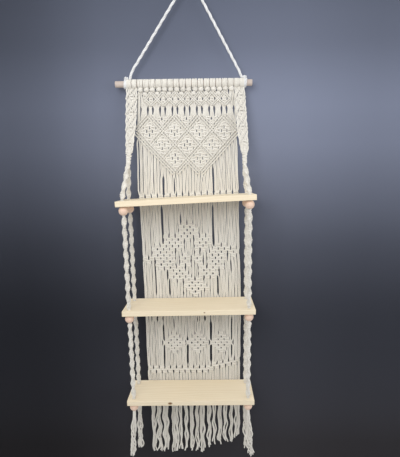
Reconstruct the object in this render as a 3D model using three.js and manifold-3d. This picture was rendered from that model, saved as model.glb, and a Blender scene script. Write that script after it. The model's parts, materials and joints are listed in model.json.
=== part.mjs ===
// Hanging rope shelf: three boards on knotted ropes, a knotted panel behind them, one dowel, one cord.
// Millimetres, +X to the right, +Y into the wall, +Z up. The origin is the top of the hook that the
// cord hangs on. The shelf's own frame, inside the group named shelf, starts at the dowel's axis
// over the middle of the boards.
import * as THREE from "three";
import { mergeVertices } from "three/addons/utils/BufferGeometryUtils.js";
import Module from "manifold-3d";

const wasm = await Module();
wasm.setup();

// Gaps
const TOUCH_GAP = 0.3; // between pieces that touch
const BOARD_PANEL_GAP = 1.3; // back edge of a board to the panel's cords

// Hanging cord and its knots
const HOOK_DROP = 289; // hook down to the dowel's axis
const HOOK_OFFSET = 17; // hook to the right of the boards' middle
const CORD_D = 7;
const KNOT_CORD_D = 6;
const KNOT_D = 11;
const KNOT_INSET = 1.5; // knot from the middle of its ring, towards the hook

// Route of the cord's centre from the left knot over the hook to the right knot: [x, z] from the hook
const CORD_ROUTE = [
  [-200.65, -266.5], [-196.4, -264.4], [-190.4, -259.8], [-183, -249.6], [-165.8, -225],
  [-144.8, -195], [-123.9, -165], [-102.9, -135], [-82, -105], [-61, -75], [-40, -45],
  [-22.6, -20], [-9.84, -1.63], [-6.36, 1.68], [-1.88, 3.35], [2.9, 3.14], [7.22, 1.08],
  [10.44, -2.59], [20.2, -20], [34.4, -45], [51.3, -75], [68.3, -105], [85.3, -135],
  [102.3, -165], [119.3, -195], [136.3, -225], [150.2, -249.5], [156.6, -259.4],
  [162.3, -264.3], [166.65, -266.5],
];

// Dowel and the knots on it
const DOWEL_D = 19;
const DOWEL_LEFT_OVERHANG = 28.5; // past the cord's ring
const DOWEL_RIGHT_OVERHANG = 17.5;
const HITCH_WALL = 5; // thickness of the knotted cord round the dowel
const HITCH_GROOVE = 1.6;
const HITCH_PITCH = 19; // one lark's-head knot
const HITCH_GAP = 1; // between the panel's knots, a band's and the cord's ring
const BAND_HITCH_WIDTH = 33;

// Boards, from the top one down
const BOARD_LENGTH = 430;
const BOARD_DEPTH = 145;
const BOARD_T = 17;
const TOP_BOARD_DROP = 360.1; // dowel's axis to the middle of the top board
const MIDDLE_SPACING = 356;
const LOWER_SPACING = 319;
const LOWER_SHIFT = 2; // the two lower boards hang a little to the right
const BOARD_TILT_DEGREES = [2.27, 0.44, 0]; // right end up

// Rope holes, cord bundles and beads
const HOLE_D = 12;
const HOLE_END_INSET = 20;
const HOLE_FRONT_INSET = 20;
const HOLE_BACK_INSET = 24;
const BUNDLE_ABOVE = 3; // bundle standing out of a board's top
const BUNDLE_BELOW = 1.2; // and out of a bead's underside
const BEAD_D = 29;

// Sennits, the spiral knotted ropes
const ROPE_D = 16.6;
const ROPE_WAIST_D = 13.4;
const ROPE_TWIST_PITCH = 35; // one bulge to the next
const ROPE_END_D = 10.8;
const ROPE_LEAD = 11; // end of a rope to its full thickness
const NECK_X = 185; // where a band parts into two ropes
const NECK_DROP = 256;
const NECK_FORWARD = 52;
const PAIR_HALF = 6.5; // half the distance between the two rope tops

// Side bands
const BAND_T = 8;
const BAND_MIDDLE_X = 178;
const BAND_MIDDLE_WIDTH = 31;
const BAND_MIDDLE_DROP = 150;
const BAND_FOOT_X = 183;
const BAND_FOOT_WIDTH = 25;
const BAND_FOOT_DROP = 205;
const BAND_TAPER = 21; // foot of the net down to the neck
const NECK_D = 16;
const NECK_STRETCH_SHARE = 1.5; // the neck is deeper than wide

// Tassels below the lowest beads
const TASSEL_TOP_D = 11;
const TASSEL_D = 19;
const TASSEL_TIP_D = 15;
const TASSEL_BODY_DROP = 40;
const TASSEL_FRONT_LENGTH = 188;
const TASSEL_BACK_LENGTH = 228;
const TASSEL_FRONT_SPLAY = 16;
const TASSEL_BACK_SPLAY = 6;

// Knotted panel
const PANEL_T = 6;
const PANEL_LEFT = -163;
const PANEL_HEART_RIGHT = 164;
const PANEL_TOP_BOARD_RIGHT = 172;
const PANEL_RIGHT = 180.5;
const PANEL_TOP_SPLIT = 342; // leaning part above, upright part below
const CUT_GAP = 0.5; // across a slanted cut between two stretches of the panel

// Heading: eyelets of the seven small diamonds and the gaps between strands under them
const DIAMOND_COUNT = 7;
const DIAMOND_MARGIN = 16; // from the panel's edges to the row of diamonds
const DIAMOND_SHIFT = 6;
const DIAMOND_DROP = 46;
const EYELET_HALF_W = 5;
const EYELET_HALF_H = 7;
const STRAND_GAP_DROP = 84;
const STRAND_GAP_HALF_W = 3;
const STRAND_GAP_HALF_H = 13;

// Heart: rows of 4, 3 and 2 lattice cells
const CELL_HALF_W = 40.6;
const CELL_HALF_H = 43;
const CELL_ROWS = [4, 3, 2];
const HEART_ROW_DROP = 143; // middle of the first row of cells
const HEART_PEAK_DROP = 102;
const HEART_VALLEY_DROP = 124;
const HEART_OVERHANG = 9.9; // heart's corner past the panel's edge at the dowel
const HEART_HEM = 10; // double row of hitches along the lower edge
const HEART_CORNER_DROP = 149;
const RIDGE_T = 3;
const RIDGE_HALF = 5.5;

// Gaps between clumps of strands: [x as a share of half the panel's width, top share, bottom share]
const FRINGE_GAP_SHARES = [
  [-0.93, 0.16, 0.97], [-0.86, 0.2, 0.95], [-0.52, 0.53, 0.9], [0.5, 0.55, 0.88], [0.93, 0.18, 0.93],
];
const CURTAIN_GAP_SHARES = [
  [-0.94, 0.03, 0.58], [-0.54, 0.04, 0.46], [0.5, 0.05, 0.47], [-0.19, 0.07, 0.21],
  [-0.72, 0.62, 0.97], [-0.45, 0.74, 0.96], [0.5, 0.7, 0.95], [0.83, 0.6, 0.94],
];
const LOWER_GAP_SHARES = [
  [-0.65, 0.1, 0.95], [-0.12, 0.13, 0.93], [0.38, 0.16, 0.88], [0.82, 0.2, 0.8],
];
const GAP_WIDTH = 4;

// Star of knots on the middle curtain: [x, z, half width, half height] as shares of the star's halves
const STAR_X = 5;
const STAR_DROP = 568;
const STAR_HALF_W = 132;
const STAR_HALF_H = 130;
const STAR_T = 4;
const STAR_CLUSTER_SHARES = [
  [-0.02, 0.77, 0.22, 0.23], [-0.42, 0.5, 0.3, 0.19], [0.36, 0.46, 0.34, 0.22],
  [-0.7, 0.06, 0.3, 0.28], [0.7, 0.07, 0.3, 0.28], [0.1, 0.04, 0.3, 0.3],
  [-0.33, -0.36, 0.34, 0.26], [0.42, -0.37, 0.36, 0.26], [0.06, -0.74, 0.28, 0.26],
];

const STAR_LINKS = [[0, 1], [0, 2], [1, 3], [2, 4], [2, 5], [3, 6], [4, 7], [6, 8], [7, 8]];
const STAR_LINK_WIDTH = 9;

// Lower curtain: three small diamonds and the swag of knots
const LOW_DIAMOND_X = [-62, 25, 109];
const LOW_DIAMOND_DROP = 880;
const LOW_DIAMOND_HALF_W = 38;
const LOW_DIAMOND_HALF_H = 31;
const SWAG_DROP = 968; // top of the swag along its level part
const SWAG_T = 33;
const SWAG_LEVEL_END = 30;
const SWAG_BEND_X = 87;
const SWAG_BEND_RISE = 21;
const SWAG_RISE = 38;

// Bottom fringe: right edge of each clump as a share of the width, and its end
const FRINGE_END_DROP = 1334;
const FRINGE_NOTCH = 240;
const CLUMP_EDGE_SHARES = [0.15, 0.25, 0.42, 0.56, 0.7, 0.8, 0.9, 1];
const CLUMP_RISE_SHARES = [0, 0.01, 0, 0.02, 0.03, 0.1, 0.12, 0.2];

// Fineness
const ROUND_SIDES = 12;
const DOWEL_SIDES = 16;
const ROPE_SIDES = 8;
const CORD_STEPS = 56;
const DOME_STEPS = 3;
const BEAD_STEPS = 6;

// Colours and finishes
const COTTON = { color: 0xe6ddcb, roughness: 0.95, metalness: 0 };
const WHITE_COTTON = { color: 0xeeede8, roughness: 0.9, metalness: 0 };
const PINE = { color: 0xe8d6ae, roughness: 0.6, metalness: 0 };
const BEECH = { color: 0xdcb896, roughness: 0.55, metalness: 0 };

// Worked-out places, in the shelf's frame
const UP = new THREE.Vector3(0, 1, 0);
const SIDES = { left: -1, right: 1 };
const hitchInnerR = DOWEL_D / 2 + TOUCH_GAP;
const hitchOuterR = hitchInnerR + HITCH_WALL;
const heartHalf = CELL_ROWS[0] * CELL_HALF_W;
const panelTopHalf = heartHalf - HEART_OVERHANG;
const bandStart = panelTopHalf + HITCH_GAP;
const bandEnd = bandStart + BAND_HITCH_WIDTH;
const knotRingX = bandEnd + HITCH_GAP + KNOT_CORD_D / 2;
const wallY = hitchOuterR;
const panelMidY = wallY - PANEL_T / 2;
const boardBackY = wallY - PANEL_T - BOARD_PANEL_GAP;
const holeY = { front: boardBackY - BOARD_DEPTH + HOLE_FRONT_INSET, back: boardBackY - HOLE_BACK_INSET };
const holeX = BOARD_LENGTH / 2 - HOLE_END_INSET;
const bundleR = HOLE_D / 2 - TOUCH_GAP;
const beadHeight = 2 * Math.sqrt((BEAD_D / 2) ** 2 - (HOLE_D / 2) ** 2);
const ropeEndR = ROPE_END_D / 2;
const bundleTop = BOARD_T / 2 + BUNDLE_ABOVE;
const bundleBottom = -BOARD_T / 2 - TOUCH_GAP - beadHeight - BUNDLE_BELOW;
const boards = [
  { name: "top", x: 0, z: -TOP_BOARD_DROP },
  { name: "middle", x: LOWER_SHIFT, z: -TOP_BOARD_DROP - MIDDLE_SPACING },
  { name: "bottom", x: LOWER_SHIFT, z: -TOP_BOARD_DROP - MIDDLE_SPACING - LOWER_SPACING },
];
boards.forEach((board, i) => {
  board.tilt = THREE.MathUtils.degToRad(BOARD_TILT_DEGREES[i]);
});
const middleSplit = boards[1].z; // the two curtains part behind the middle board

const root = new THREE.Group();
const shelf = new THREE.Group();
shelf.position.set(-HOOK_OFFSET, 0, -HOOK_DROP);
root.add(shelf);

function piece(name, geometry, finish, parent = shelf) {
  const mesh = new THREE.Mesh(geometry, new THREE.MeshStandardMaterial(finish));
  mesh.name = name;
  parent.add(mesh);
  return mesh;
}

// Booleans on closed meshes
function solidOf(geometry) {
  const bare = geometry.clone();
  bare.deleteAttribute("normal");
  bare.deleteAttribute("uv");
  const merged = mergeVertices(bare);
  return new wasm.Manifold(new wasm.Mesh({
    numProp: 3,
    vertProperties: new Float32Array(merged.attributes.position.array),
    triVerts: new Uint32Array(merged.index.array),
  }));
}

function join(...geometries) {
  const mesh = geometries.map(solidOf).reduce((sum, solid) => sum.add(solid)).getMesh();
  const joined = new THREE.BufferGeometry();
  joined.setAttribute("position", new THREE.BufferAttribute(new Float32Array(mesh.vertProperties), 3));
  joined.setIndex(new THREE.BufferAttribute(new Uint32Array(mesh.triVerts), 1));
  return joined;
}

// A flat plate from an outline of [x, z] points, frontY to frontY + thickness
function plate(outline, thickness, frontY, holes = []) {
  const asPoints = (list) => list.map(([x, z]) => new THREE.Vector2(x, z));
  const shape = new THREE.Shape(asPoints(outline));
  shape.holes = holes.map((hole) => new THREE.Path(asPoints(hole)));
  const geometry = new THREE.ExtrudeGeometry(shape, { depth: thickness, bevelEnabled: false });
  geometry.rotateX(Math.PI / 2);
  geometry.translate(0, frontY + thickness, 0);
  return geometry;
}

function diamond(x, z, halfW, halfH) {
  return [[x - halfW, z], [x, z - halfH], [x + halfW, z], [x, z + halfH]];
}

function slot(x, top, bottom, width) {
  return [[x - width / 2, top], [x - width / 2, bottom], [x + width / 2, bottom], [x + width / 2, top]];
}

// A straight strip from one [x, z] place to another
function strip([x1, z1], [x2, z2], width) {
  const along = new THREE.Vector2(x2 - x1, z2 - z1).setLength(width / 2);
  return [
    [x1 - along.y, z1 + along.x], [x1 + along.y, z1 - along.x],
    [x2 + along.y, z2 - along.x], [x2 - along.y, z2 + along.x],
  ];
}

// A body turned from [radius, height] points
function turned(points, sides) {
  return new THREE.LatheGeometry(points.map(([r, h]) => new THREE.Vector2(r, h)), sides);
}

// A plain round rod along +Y
function rod(radius, from, to, sides) {
  return turned([[0, from], [radius, from], [radius, to], [0, to]], sides);
}

// A knotted rope between the centres of its two domed ends, standing along +Y
function ropeGeometry(length) {
  const half = length / 2;
  const dome = Array.from({ length: DOME_STEPS }, (_, i) => {
    const angle = (-Math.PI / 2) * (1 - i / DOME_STEPS);
    return [ropeEndR * Math.cos(angle), -half + ropeEndR * Math.sin(angle)];
  });
  dome[0][0] = 0;
  const run = length - 2 * ROPE_LEAD;
  const halfTwists = 2 * Math.max(1, Math.round(run / ROPE_TWIST_PITCH));
  const body = Array.from({ length: halfTwists + 1 }, (_, i) => {
    const bulge = i % 2 ? ROPE_WAIST_D : ROPE_D;
    return [bulge / 2, -half + ROPE_LEAD + (run * i) / halfTwists];
  });
  const foot = [...dome, [ropeEndR, -half]];
  const head = foot.map(([r, h]) => [r, -h]).reverse();
  return turned([...foot, ...body, ...head], ROPE_SIDES);
}

function ropeBetween(name, top, bottom) {
  const mesh = piece(name, ropeGeometry(top.distanceTo(bottom)), COTTON);
  mesh.position.copy(top).add(bottom).multiplyScalar(1 / 2);
  mesh.quaternion.setFromUnitVectors(UP, top.clone().sub(bottom).normalize());
  return mesh;
}

// A place on a board's hole line, at a height over the board's middle plane
function onBoard(board, side, row, height) {
  return new THREE.Vector3(SIDES[side] * holeX, holeY[row], height)
    .applyAxisAngle(UP, -board.tilt)
    .add(new THREE.Vector3(board.x, 0, board.z));
}

// Hanging cord, its two knots and the dowel
function makeHanger() {
  const route = CORD_ROUTE.map(([x, z]) => new THREE.Vector3(x, 0, z));
  const section = new THREE.Shape();
  for (let i = 0; i < ROPE_SIDES; i += 1) {
    const angle = (2 * Math.PI * i) / ROPE_SIDES;
    const point = [(CORD_D / 2) * Math.cos(angle), (CORD_D / 2) * Math.sin(angle)];
    if (i === 0) section.moveTo(...point);
    else section.lineTo(...point);
  }
  const path = new THREE.CatmullRomCurve3(route, false, "centripetal");
  const options = { steps: CORD_STEPS, extrudePath: path, bevelEnabled: false };
  piece("hanging_cord", new THREE.ExtrudeGeometry(section, options), WHITE_COTTON, root);
  for (const side of Object.keys(SIDES)) {
    const cordR = KNOT_CORD_D / 2;
    const ring = new THREE.TorusGeometry(hitchInnerR + cordR, cordR, ROPE_SIDES, DOWEL_SIDES);
    ring.rotateY(Math.PI / 2);
    ring.translate(SIDES[side] * knotRingX, 0, 0);
    const knot = new THREE.SphereGeometry(KNOT_D / 2, ROUND_SIDES, ROPE_SIDES);
    knot.translate(SIDES[side] * (knotRingX - KNOT_INSET), 0, hitchOuterR + KNOT_D / 2);
    piece(`cord_knot_${side}`, join(ring, knot), WHITE_COTTON);
  }
  const ringEnd = knotRingX + KNOT_CORD_D / 2;
  const dowelStart = -ringEnd - DOWEL_LEFT_OVERHANG;
  const dowelEnd = ringEnd + DOWEL_RIGHT_OVERHANG;
  const dowel = rod(DOWEL_D / 2, dowelStart, dowelEnd, DOWEL_SIDES);
  dowel.rotateZ(-Math.PI / 2);
  piece("dowel", dowel, BEECH);
}

// A sleeve of lark's-head knots round the dowel, from x = 0 to width
function hitchSleeve(name, startX, width) {
  const grooves = 2 * Math.max(1, Math.round(width / HITCH_PITCH));
  const outer = Array.from({ length: grooves + 1 }, (_, i) => [
    i % 2 ? hitchOuterR : hitchOuterR - HITCH_GROOVE,
    (width * i) / grooves,
  ]);
  const profile = [[hitchInnerR, 0], ...outer, [hitchInnerR, width], [hitchInnerR, 0]];
  const sleeve = turned(profile, DOWEL_SIDES);
  sleeve.rotateZ(-Math.PI / 2);
  piece(name, sleeve, COTTON).position.x = startX;
}

function makeHitches() {
  hitchSleeve("panel_hitches", -panelTopHalf, 2 * panelTopHalf);
  hitchSleeve("band_hitches_left", -bandEnd, BAND_HITCH_WIDTH);
  hitchSleeve("band_hitches_right", bandStart, BAND_HITCH_WIDTH);
}

// Side bands, in a plane that leans from the dowel forward to the neck
function makeBands() {
  const lean = Math.atan2(NECK_FORWARD, NECK_DROP);
  const pivotRun = Math.hypot(NECK_FORWARD, NECK_DROP);
  const neckEnd = pivotRun - ropeEndR - TOUCH_GAP - PAIR_HALF * Math.sin(lean);
  const along = (drop) => drop / Math.cos(lean);
  const stations = [
    [(bandStart + bandEnd) / 2, BAND_HITCH_WIDTH, hitchOuterR + TOUCH_GAP],
    [BAND_MIDDLE_X, BAND_MIDDLE_WIDTH, along(BAND_MIDDLE_DROP)],
    [BAND_FOOT_X, BAND_FOOT_WIDTH, along(BAND_FOOT_DROP)],
    [NECK_X, NECK_D / 2, along(BAND_FOOT_DROP + BAND_TAPER)],
  ];
  const leaning = new THREE.Group();
  leaning.rotation.x = -lean;
  shelf.add(leaning);
  for (const [side, sign] of Object.entries(SIDES)) {
    const inner = stations.map(([x, width, run]) => [sign * (x - width / 2), -run]);
    const outer = stations.map(([x, width, run]) => [sign * (x + width / 2), -run]).reverse();
    const net = plate([...inner, ...outer], BAND_T, -BAND_T / 2);
    const neckTop = along(BAND_FOOT_DROP);
    const neck = rod(NECK_D / 2, -neckEnd, -neckTop, ROUND_SIDES);
    neck.rotateX(Math.PI / 2);
    neck.scale(1, NECK_STRETCH_SHARE, 1);
    neck.translate(sign * NECK_X, 0, 0);
    piece(`side_band_${side}`, join(net, neck), COTTON, leaning);
  }
}

// Ropes of one tier: from the necks or the beads above down to a board's top
function makeRopes(tier) {
  const below = boards[tier];
  for (const [side, sign] of Object.entries(SIDES)) {
    for (const row of ["front", "back"]) {
      const pairY = -NECK_FORWARD + (row === "front" ? -PAIR_HALF : PAIR_HALF);
      const top = tier === 0
        ? new THREE.Vector3(sign * NECK_X, pairY, -NECK_DROP)
        : onBoard(boards[tier - 1], side, row, bundleBottom - TOUCH_GAP - ropeEndR);
      const foot = onBoard(below, side, row, bundleTop + TOUCH_GAP + ropeEndR);
      ropeBetween(`rope_${below.name}_${side}_${row}`, top, foot);
    }
  }
}

// One board with its beads and the cord bundles through them
function makeBoard(board) {
  const group = new THREE.Group();
  group.position.set(board.x, 0, board.z);
  group.rotation.y = -board.tilt;
  shelf.add(group);
  const halfL = BOARD_LENGTH / 2;
  const shape = new THREE.Shape([
    new THREE.Vector2(-halfL, boardBackY - BOARD_DEPTH),
    new THREE.Vector2(halfL, boardBackY - BOARD_DEPTH),
    new THREE.Vector2(halfL, boardBackY),
    new THREE.Vector2(-halfL, boardBackY),
  ]);
  const bead = beadGeometry();
  for (const [side, sign] of Object.entries(SIDES)) {
    for (const row of ["front", "back"]) {
      const hole = new THREE.Path();
      hole.absarc(sign * holeX, holeY[row], HOLE_D / 2, 0, 2 * Math.PI, true);
      shape.holes.push(hole);
      const beadMesh = piece(`bead_${board.name}_${side}_${row}`, bead, BEECH, group);
      beadMesh.position.set(sign * holeX, holeY[row], -BOARD_T / 2 - TOUCH_GAP - beadHeight / 2);
      const bundle = rod(bundleR, 0, bundleTop - bundleBottom, ROUND_SIDES);
      bundle.rotateX(Math.PI / 2);
      const bundleMesh = piece(`cord_bundle_${board.name}_${side}_${row}`, bundle, COTTON, group);
      bundleMesh.position.set(sign * holeX, holeY[row], bundleBottom);
    }
  }
  const options = { depth: BOARD_T, bevelEnabled: false, curveSegments: ROUND_SIDES };
  const slab = new THREE.ExtrudeGeometry(shape, options);
  slab.translate(0, 0, -BOARD_T / 2);
  piece(`board_${board.name}`, slab, PINE, group);
}

// A ball with a bore, its axis along Z
function beadGeometry() {
  const start = Math.asin(beadHeight / BEAD_D);
  const outer = Array.from({ length: BEAD_STEPS + 1 }, (_, i) => {
    const angle = -start + (2 * start * i) / BEAD_STEPS;
    return [(BEAD_D / 2) * Math.cos(angle), (BEAD_D / 2) * Math.sin(angle)];
  });
  const bead = turned([...outer, outer[0]], ROUND_SIDES);
  bead.rotateX(Math.PI / 2);
  return bead;
}

// Loose rope ends below the lowest beads
function makeTassels() {
  const board = boards[boards.length - 1];
  for (const [side, sign] of Object.entries(SIDES)) {
    for (const row of ["front", "back"]) {
      const front = row === "front";
      const length = front ? TASSEL_FRONT_LENGTH : TASSEL_BACK_LENGTH;
      const splay = sign * (front ? TASSEL_FRONT_SPLAY : TASSEL_BACK_SPLAY);
      const profile = [
        [0, -length], [TASSEL_TIP_D / 2, -length], [TASSEL_D / 2, -length + TASSEL_BODY_DROP],
        [TASSEL_D / 2, -TASSEL_BODY_DROP], [TASSEL_TOP_D / 2, 0], [0, 0],
      ];
      const tassel = turned(profile, ROPE_SIDES);
      const mesh = piece(`tassel_${side}_${row}`, tassel, COTTON);
      mesh.position.copy(onBoard(board, side, row, bundleBottom - CUT_GAP));
      const direction = new THREE.Vector3(splay, 0, -length).normalize();
      mesh.quaternion.setFromUnitVectors(UP, direction.negate());
    }
  }
}

// Gaps between clumps, from [share of half width, top share, bottom share] over a stretch
function clumpGaps(shares, middleX, halfW, top, bottom) {
  const at = (share) => top + (bottom - top) * share;
  return shares.map(([x, from, to]) => slot(middleX + x * halfW, at(from), at(to), GAP_WIDTH));
}

// The heart's top edge from left to right, moved up by lift
function heartTop(lift) {
  const columns = CELL_ROWS[0];
  const edge = [];
  for (let i = 0; i < columns; i += 1) {
    const x = (2 * i - columns + 1) * CELL_HALF_W;
    if (i > 0) edge.push([x - CELL_HALF_W, lift - HEART_VALLEY_DROP]);
    edge.push([x, lift - HEART_PEAK_DROP]);
  }
  return edge;
}

// The heart's lower edge from left to right, moved down by drop: two points and the notch between
function heartFoot(drop) {
  const rows = CELL_ROWS.length;
  const tipDrop = HEART_ROW_DROP + rows * CELL_HALF_H + HEART_HEM + drop;
  return [[-CELL_HALF_W, -tipDrop], [0, CELL_HALF_H - tipDrop], [CELL_HALF_W, -tipDrop]];
}

// Height of the straight run from the heart's left corner to its first peak
function heartShoulder(x, lift) {
  const share = (heartHalf - Math.abs(x)) / CELL_HALF_W;
  return lift - HEART_CORNER_DROP + share * (HEART_CORNER_DROP - HEART_PEAK_DROP);
}

// Upper part of the panel, in a plane that leans from the dowel back to the wall
function makeUpperPanel() {
  const leaning = new THREE.Group();
  leaning.rotation.x = Math.asin(panelMidY / PANEL_TOP_SPLIT);
  shelf.add(leaning);
  const frontY = -PANEL_T / 2;
  const topZ = -hitchOuterR - TOUCH_GAP;
  const shoulderZ = heartShoulder(panelTopHalf, CUT_GAP);

  const pitch = (2 * (panelTopHalf - DIAMOND_MARGIN)) / DIAMOND_COUNT;
  const eyelets = [];
  for (let i = 0; i < DIAMOND_COUNT; i += 1) {
    const x = DIAMOND_SHIFT + (i - (DIAMOND_COUNT - 1) / 2) * pitch;
    eyelets.push(diamond(x, -DIAMOND_DROP, EYELET_HALF_W, EYELET_HALF_H));
    eyelets.push(diamond(x, -STRAND_GAP_DROP, STRAND_GAP_HALF_W, STRAND_GAP_HALF_H));
  }
  const heading = [
    [-panelTopHalf, topZ], [-panelTopHalf, shoulderZ], ...heartTop(CUT_GAP),
    [panelTopHalf, shoulderZ], [panelTopHalf, topZ],
  ];
  piece("panel_heading", plate(heading, PANEL_T, frontY, eyelets), COTTON, leaning);

  const outline = [
    [-heartHalf, -HEART_CORNER_DROP], ...heartTop(0),
    [heartHalf, -HEART_CORNER_DROP], ...heartFoot(0).reverse(),
  ];
  const cells = CELL_ROWS.flatMap((count, row) => {
    const z = -HEART_ROW_DROP - row * CELL_HALF_H;
    return Array.from({ length: count }, (_, i) => {
      const x = (2 * i - count + 1) * CELL_HALF_W;
      return diamond(x, z, CELL_HALF_W - RIDGE_HALF, CELL_HALF_H - RIDGE_HALF);
    });
  });
  const ground = plate(outline, PANEL_T, frontY);
  const lattice = plate(outline, 2 * RIDGE_T, frontY - RIDGE_T, cells);
  piece("panel_heart", join(ground, lattice), COTTON, leaning);

  const footEdge = heartFoot(CUT_GAP);
  const fringe = [
    [-heartHalf, -HEART_CORNER_DROP - CUT_GAP], ...footEdge, [heartHalf, -HEART_CORNER_DROP - CUT_GAP],
    [PANEL_TOP_BOARD_RIGHT, -PANEL_TOP_SPLIT], [PANEL_LEFT, -PANEL_TOP_SPLIT],
  ];
  const gaps = clumpGaps(
    FRINGE_GAP_SHARES, 0, PANEL_HEART_RIGHT, -HEART_CORNER_DROP, -PANEL_TOP_SPLIT,
  );
  piece("panel_fringe_upper", plate(fringe, PANEL_T, frontY, gaps), COTTON, leaning);
}

// Upright part of the panel behind the boards
function makeLowerPanel() {
  const frontY = panelMidY - PANEL_T / 2;
  const middleX = (PANEL_LEFT + PANEL_RIGHT) / 2;
  const halfW = (PANEL_RIGHT - PANEL_LEFT) / 2;
  const curtainTop = -PANEL_TOP_SPLIT - CUT_GAP;
  const curtain = [
    [PANEL_LEFT, curtainTop], [PANEL_LEFT, middleSplit],
    [PANEL_RIGHT, middleSplit], [PANEL_TOP_BOARD_RIGHT, curtainTop],
  ];
  const curtainGaps = clumpGaps(CURTAIN_GAP_SHARES, middleX, halfW, curtainTop, middleSplit);
  piece("panel_curtain_middle", plate(curtain, PANEL_T, frontY, curtainGaps), COTTON);

  const starY = frontY - TOUCH_GAP - STAR_T;
  const spots = STAR_CLUSTER_SHARES.map(([x, z, w, h]) => [
    STAR_X + x * STAR_HALF_W, -STAR_DROP + z * STAR_HALF_H, w * STAR_HALF_W, h * STAR_HALF_H,
  ]);
  const clusters = spots.map((spot) => plate(diamond(...spot), STAR_T, starY));
  const strips = STAR_LINKS.map(([a, b]) => strip(spots[a], spots[b], STAR_LINK_WIDTH));
  const links = strips.map((outline) => plate(outline, STAR_T, starY));
  piece("panel_star", join(...clusters, ...links), COTTON);

  const swagTop = [
    [PANEL_LEFT, -SWAG_DROP], [SWAG_LEVEL_END, -SWAG_DROP],
    [SWAG_BEND_X, -SWAG_DROP + SWAG_BEND_RISE], [PANEL_RIGHT, -SWAG_DROP + SWAG_RISE],
  ];
  const shifted = (edge, dz) => edge.map(([x, z]) => [x, z + dz]);
  const lowerTop = middleSplit - TOUCH_GAP;
  const lower = [[PANEL_RIGHT, lowerTop], [PANEL_LEFT, lowerTop], ...shifted(swagTop, CUT_GAP)];
  const lowerGaps = clumpGaps(LOWER_GAP_SHARES, middleX, halfW, lowerTop, -SWAG_DROP);
  const diamonds = LOW_DIAMOND_X.map((x) => plate(
    diamond(x, -LOW_DIAMOND_DROP, LOW_DIAMOND_HALF_W, LOW_DIAMOND_HALF_H), 2 * RIDGE_T, frontY - RIDGE_T,
  ));
  piece("panel_curtain_lower", join(plate(lower, PANEL_T, frontY, lowerGaps), ...diamonds), COTTON);

  const swag = [...swagTop, ...shifted(swagTop, -SWAG_T).reverse()];
  piece("panel_swag", plate(swag, PANEL_T, frontY), COTTON);

  const fringeTop = shifted(swagTop, -SWAG_T - CUT_GAP);
  const ends = fringeEnds();
  piece("panel_fringe_bottom", plate([...fringeTop, ...ends.reverse()], PANEL_T, frontY), COTTON);
}

// Lower edge of the bottom fringe from left to right, notched between its clumps
function fringeEnds() {
  const width = PANEL_RIGHT - PANEL_LEFT;
  const edge = [];
  let left = PANEL_LEFT;
  CLUMP_EDGE_SHARES.forEach((share, i) => {
    const right = PANEL_LEFT + share * width;
    const end = -FRINGE_END_DROP + CLUMP_RISE_SHARES[i] * FRINGE_NOTCH;
    edge.push([left, end], [right, end]);
    if (i < CLUMP_EDGE_SHARES.length - 1) {
      const notch = -FRINGE_END_DROP + FRINGE_NOTCH;
      edge.push([right, notch], [right + GAP_WIDTH, notch]);
      left = right + GAP_WIDTH;
    }
  });
  return edge;
}

makeHanger();
makeHitches();
makeBands();
boards.forEach((board, tier) => {
  makeRopes(tier);
  makeBoard(board);
});
makeTassels();
makeUpperPanel();
makeLowerPanel();

export default root;
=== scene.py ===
"""Hanging rope shelf: three pine boards on knotted cotton ropes, with a knotted cotton panel behind.

Points are drawn in millimetres in the shelf's own layout: x to the right from the middle of the
panel's top, y away from the room and z upwards from the dowel's axis. A drop is a distance below
that axis. Skein.piece and wooden_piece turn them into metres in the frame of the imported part.
"""

import json
import math
from collections import namedtuple
from functools import partial
from itertools import product

import bpy
import numpy as np
from mathutils import Matrix, Vector
from mathutils.geometry import tessellate_polygon


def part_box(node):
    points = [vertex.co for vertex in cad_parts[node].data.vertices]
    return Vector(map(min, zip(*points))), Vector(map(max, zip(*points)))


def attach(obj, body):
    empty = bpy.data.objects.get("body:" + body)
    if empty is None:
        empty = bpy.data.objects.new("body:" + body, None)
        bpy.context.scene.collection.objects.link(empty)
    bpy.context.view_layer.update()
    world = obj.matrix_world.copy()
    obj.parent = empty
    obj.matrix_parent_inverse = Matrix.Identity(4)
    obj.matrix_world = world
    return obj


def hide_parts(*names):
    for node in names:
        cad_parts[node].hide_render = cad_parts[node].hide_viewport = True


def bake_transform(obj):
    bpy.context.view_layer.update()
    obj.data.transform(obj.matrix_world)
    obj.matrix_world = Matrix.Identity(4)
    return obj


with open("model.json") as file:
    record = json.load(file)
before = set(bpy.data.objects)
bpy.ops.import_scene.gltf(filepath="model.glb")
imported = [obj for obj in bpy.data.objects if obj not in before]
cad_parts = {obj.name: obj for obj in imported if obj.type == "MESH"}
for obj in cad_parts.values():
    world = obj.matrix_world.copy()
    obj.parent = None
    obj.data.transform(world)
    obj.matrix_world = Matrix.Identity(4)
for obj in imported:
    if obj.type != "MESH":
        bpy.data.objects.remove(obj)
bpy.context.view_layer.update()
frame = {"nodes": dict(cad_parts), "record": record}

bl_info = {
    "name": "Hanging rope shelf",
    "version": (1, 0, 0),
    "blender": (4, 5, 0),
    "location": "View3D > Sidebar > Rope shelf",
    "description": "Builds a hanging shelf of pine boards, knotted cotton rope and a knotted panel",
    "category": "Add Mesh",
}

MM = 0.001
TURN = 2 * math.pi

LEVELS = ("top", "middle", "bottom")
SIDES = ("left", "right")
ROWS = ("front", "back")
ROPES = tuple(product(LEVELS, SIDES, ROWS))

# Seeds of the random draws, counted on from here within each kind of piece
SEEDS = {
    "hanging_cord": 5, "strands": 7, "cord_ties": 30, "works": 40, "hitches": 70, "bands": 90,
    "ropes": 110, "bundles": 140, "tassels": 160,
}


def to_frame(points):
    """Millimetres in the layout to metres in the frame of the part."""
    return ORIGIN + np.asarray(points, float) * MM


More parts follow.
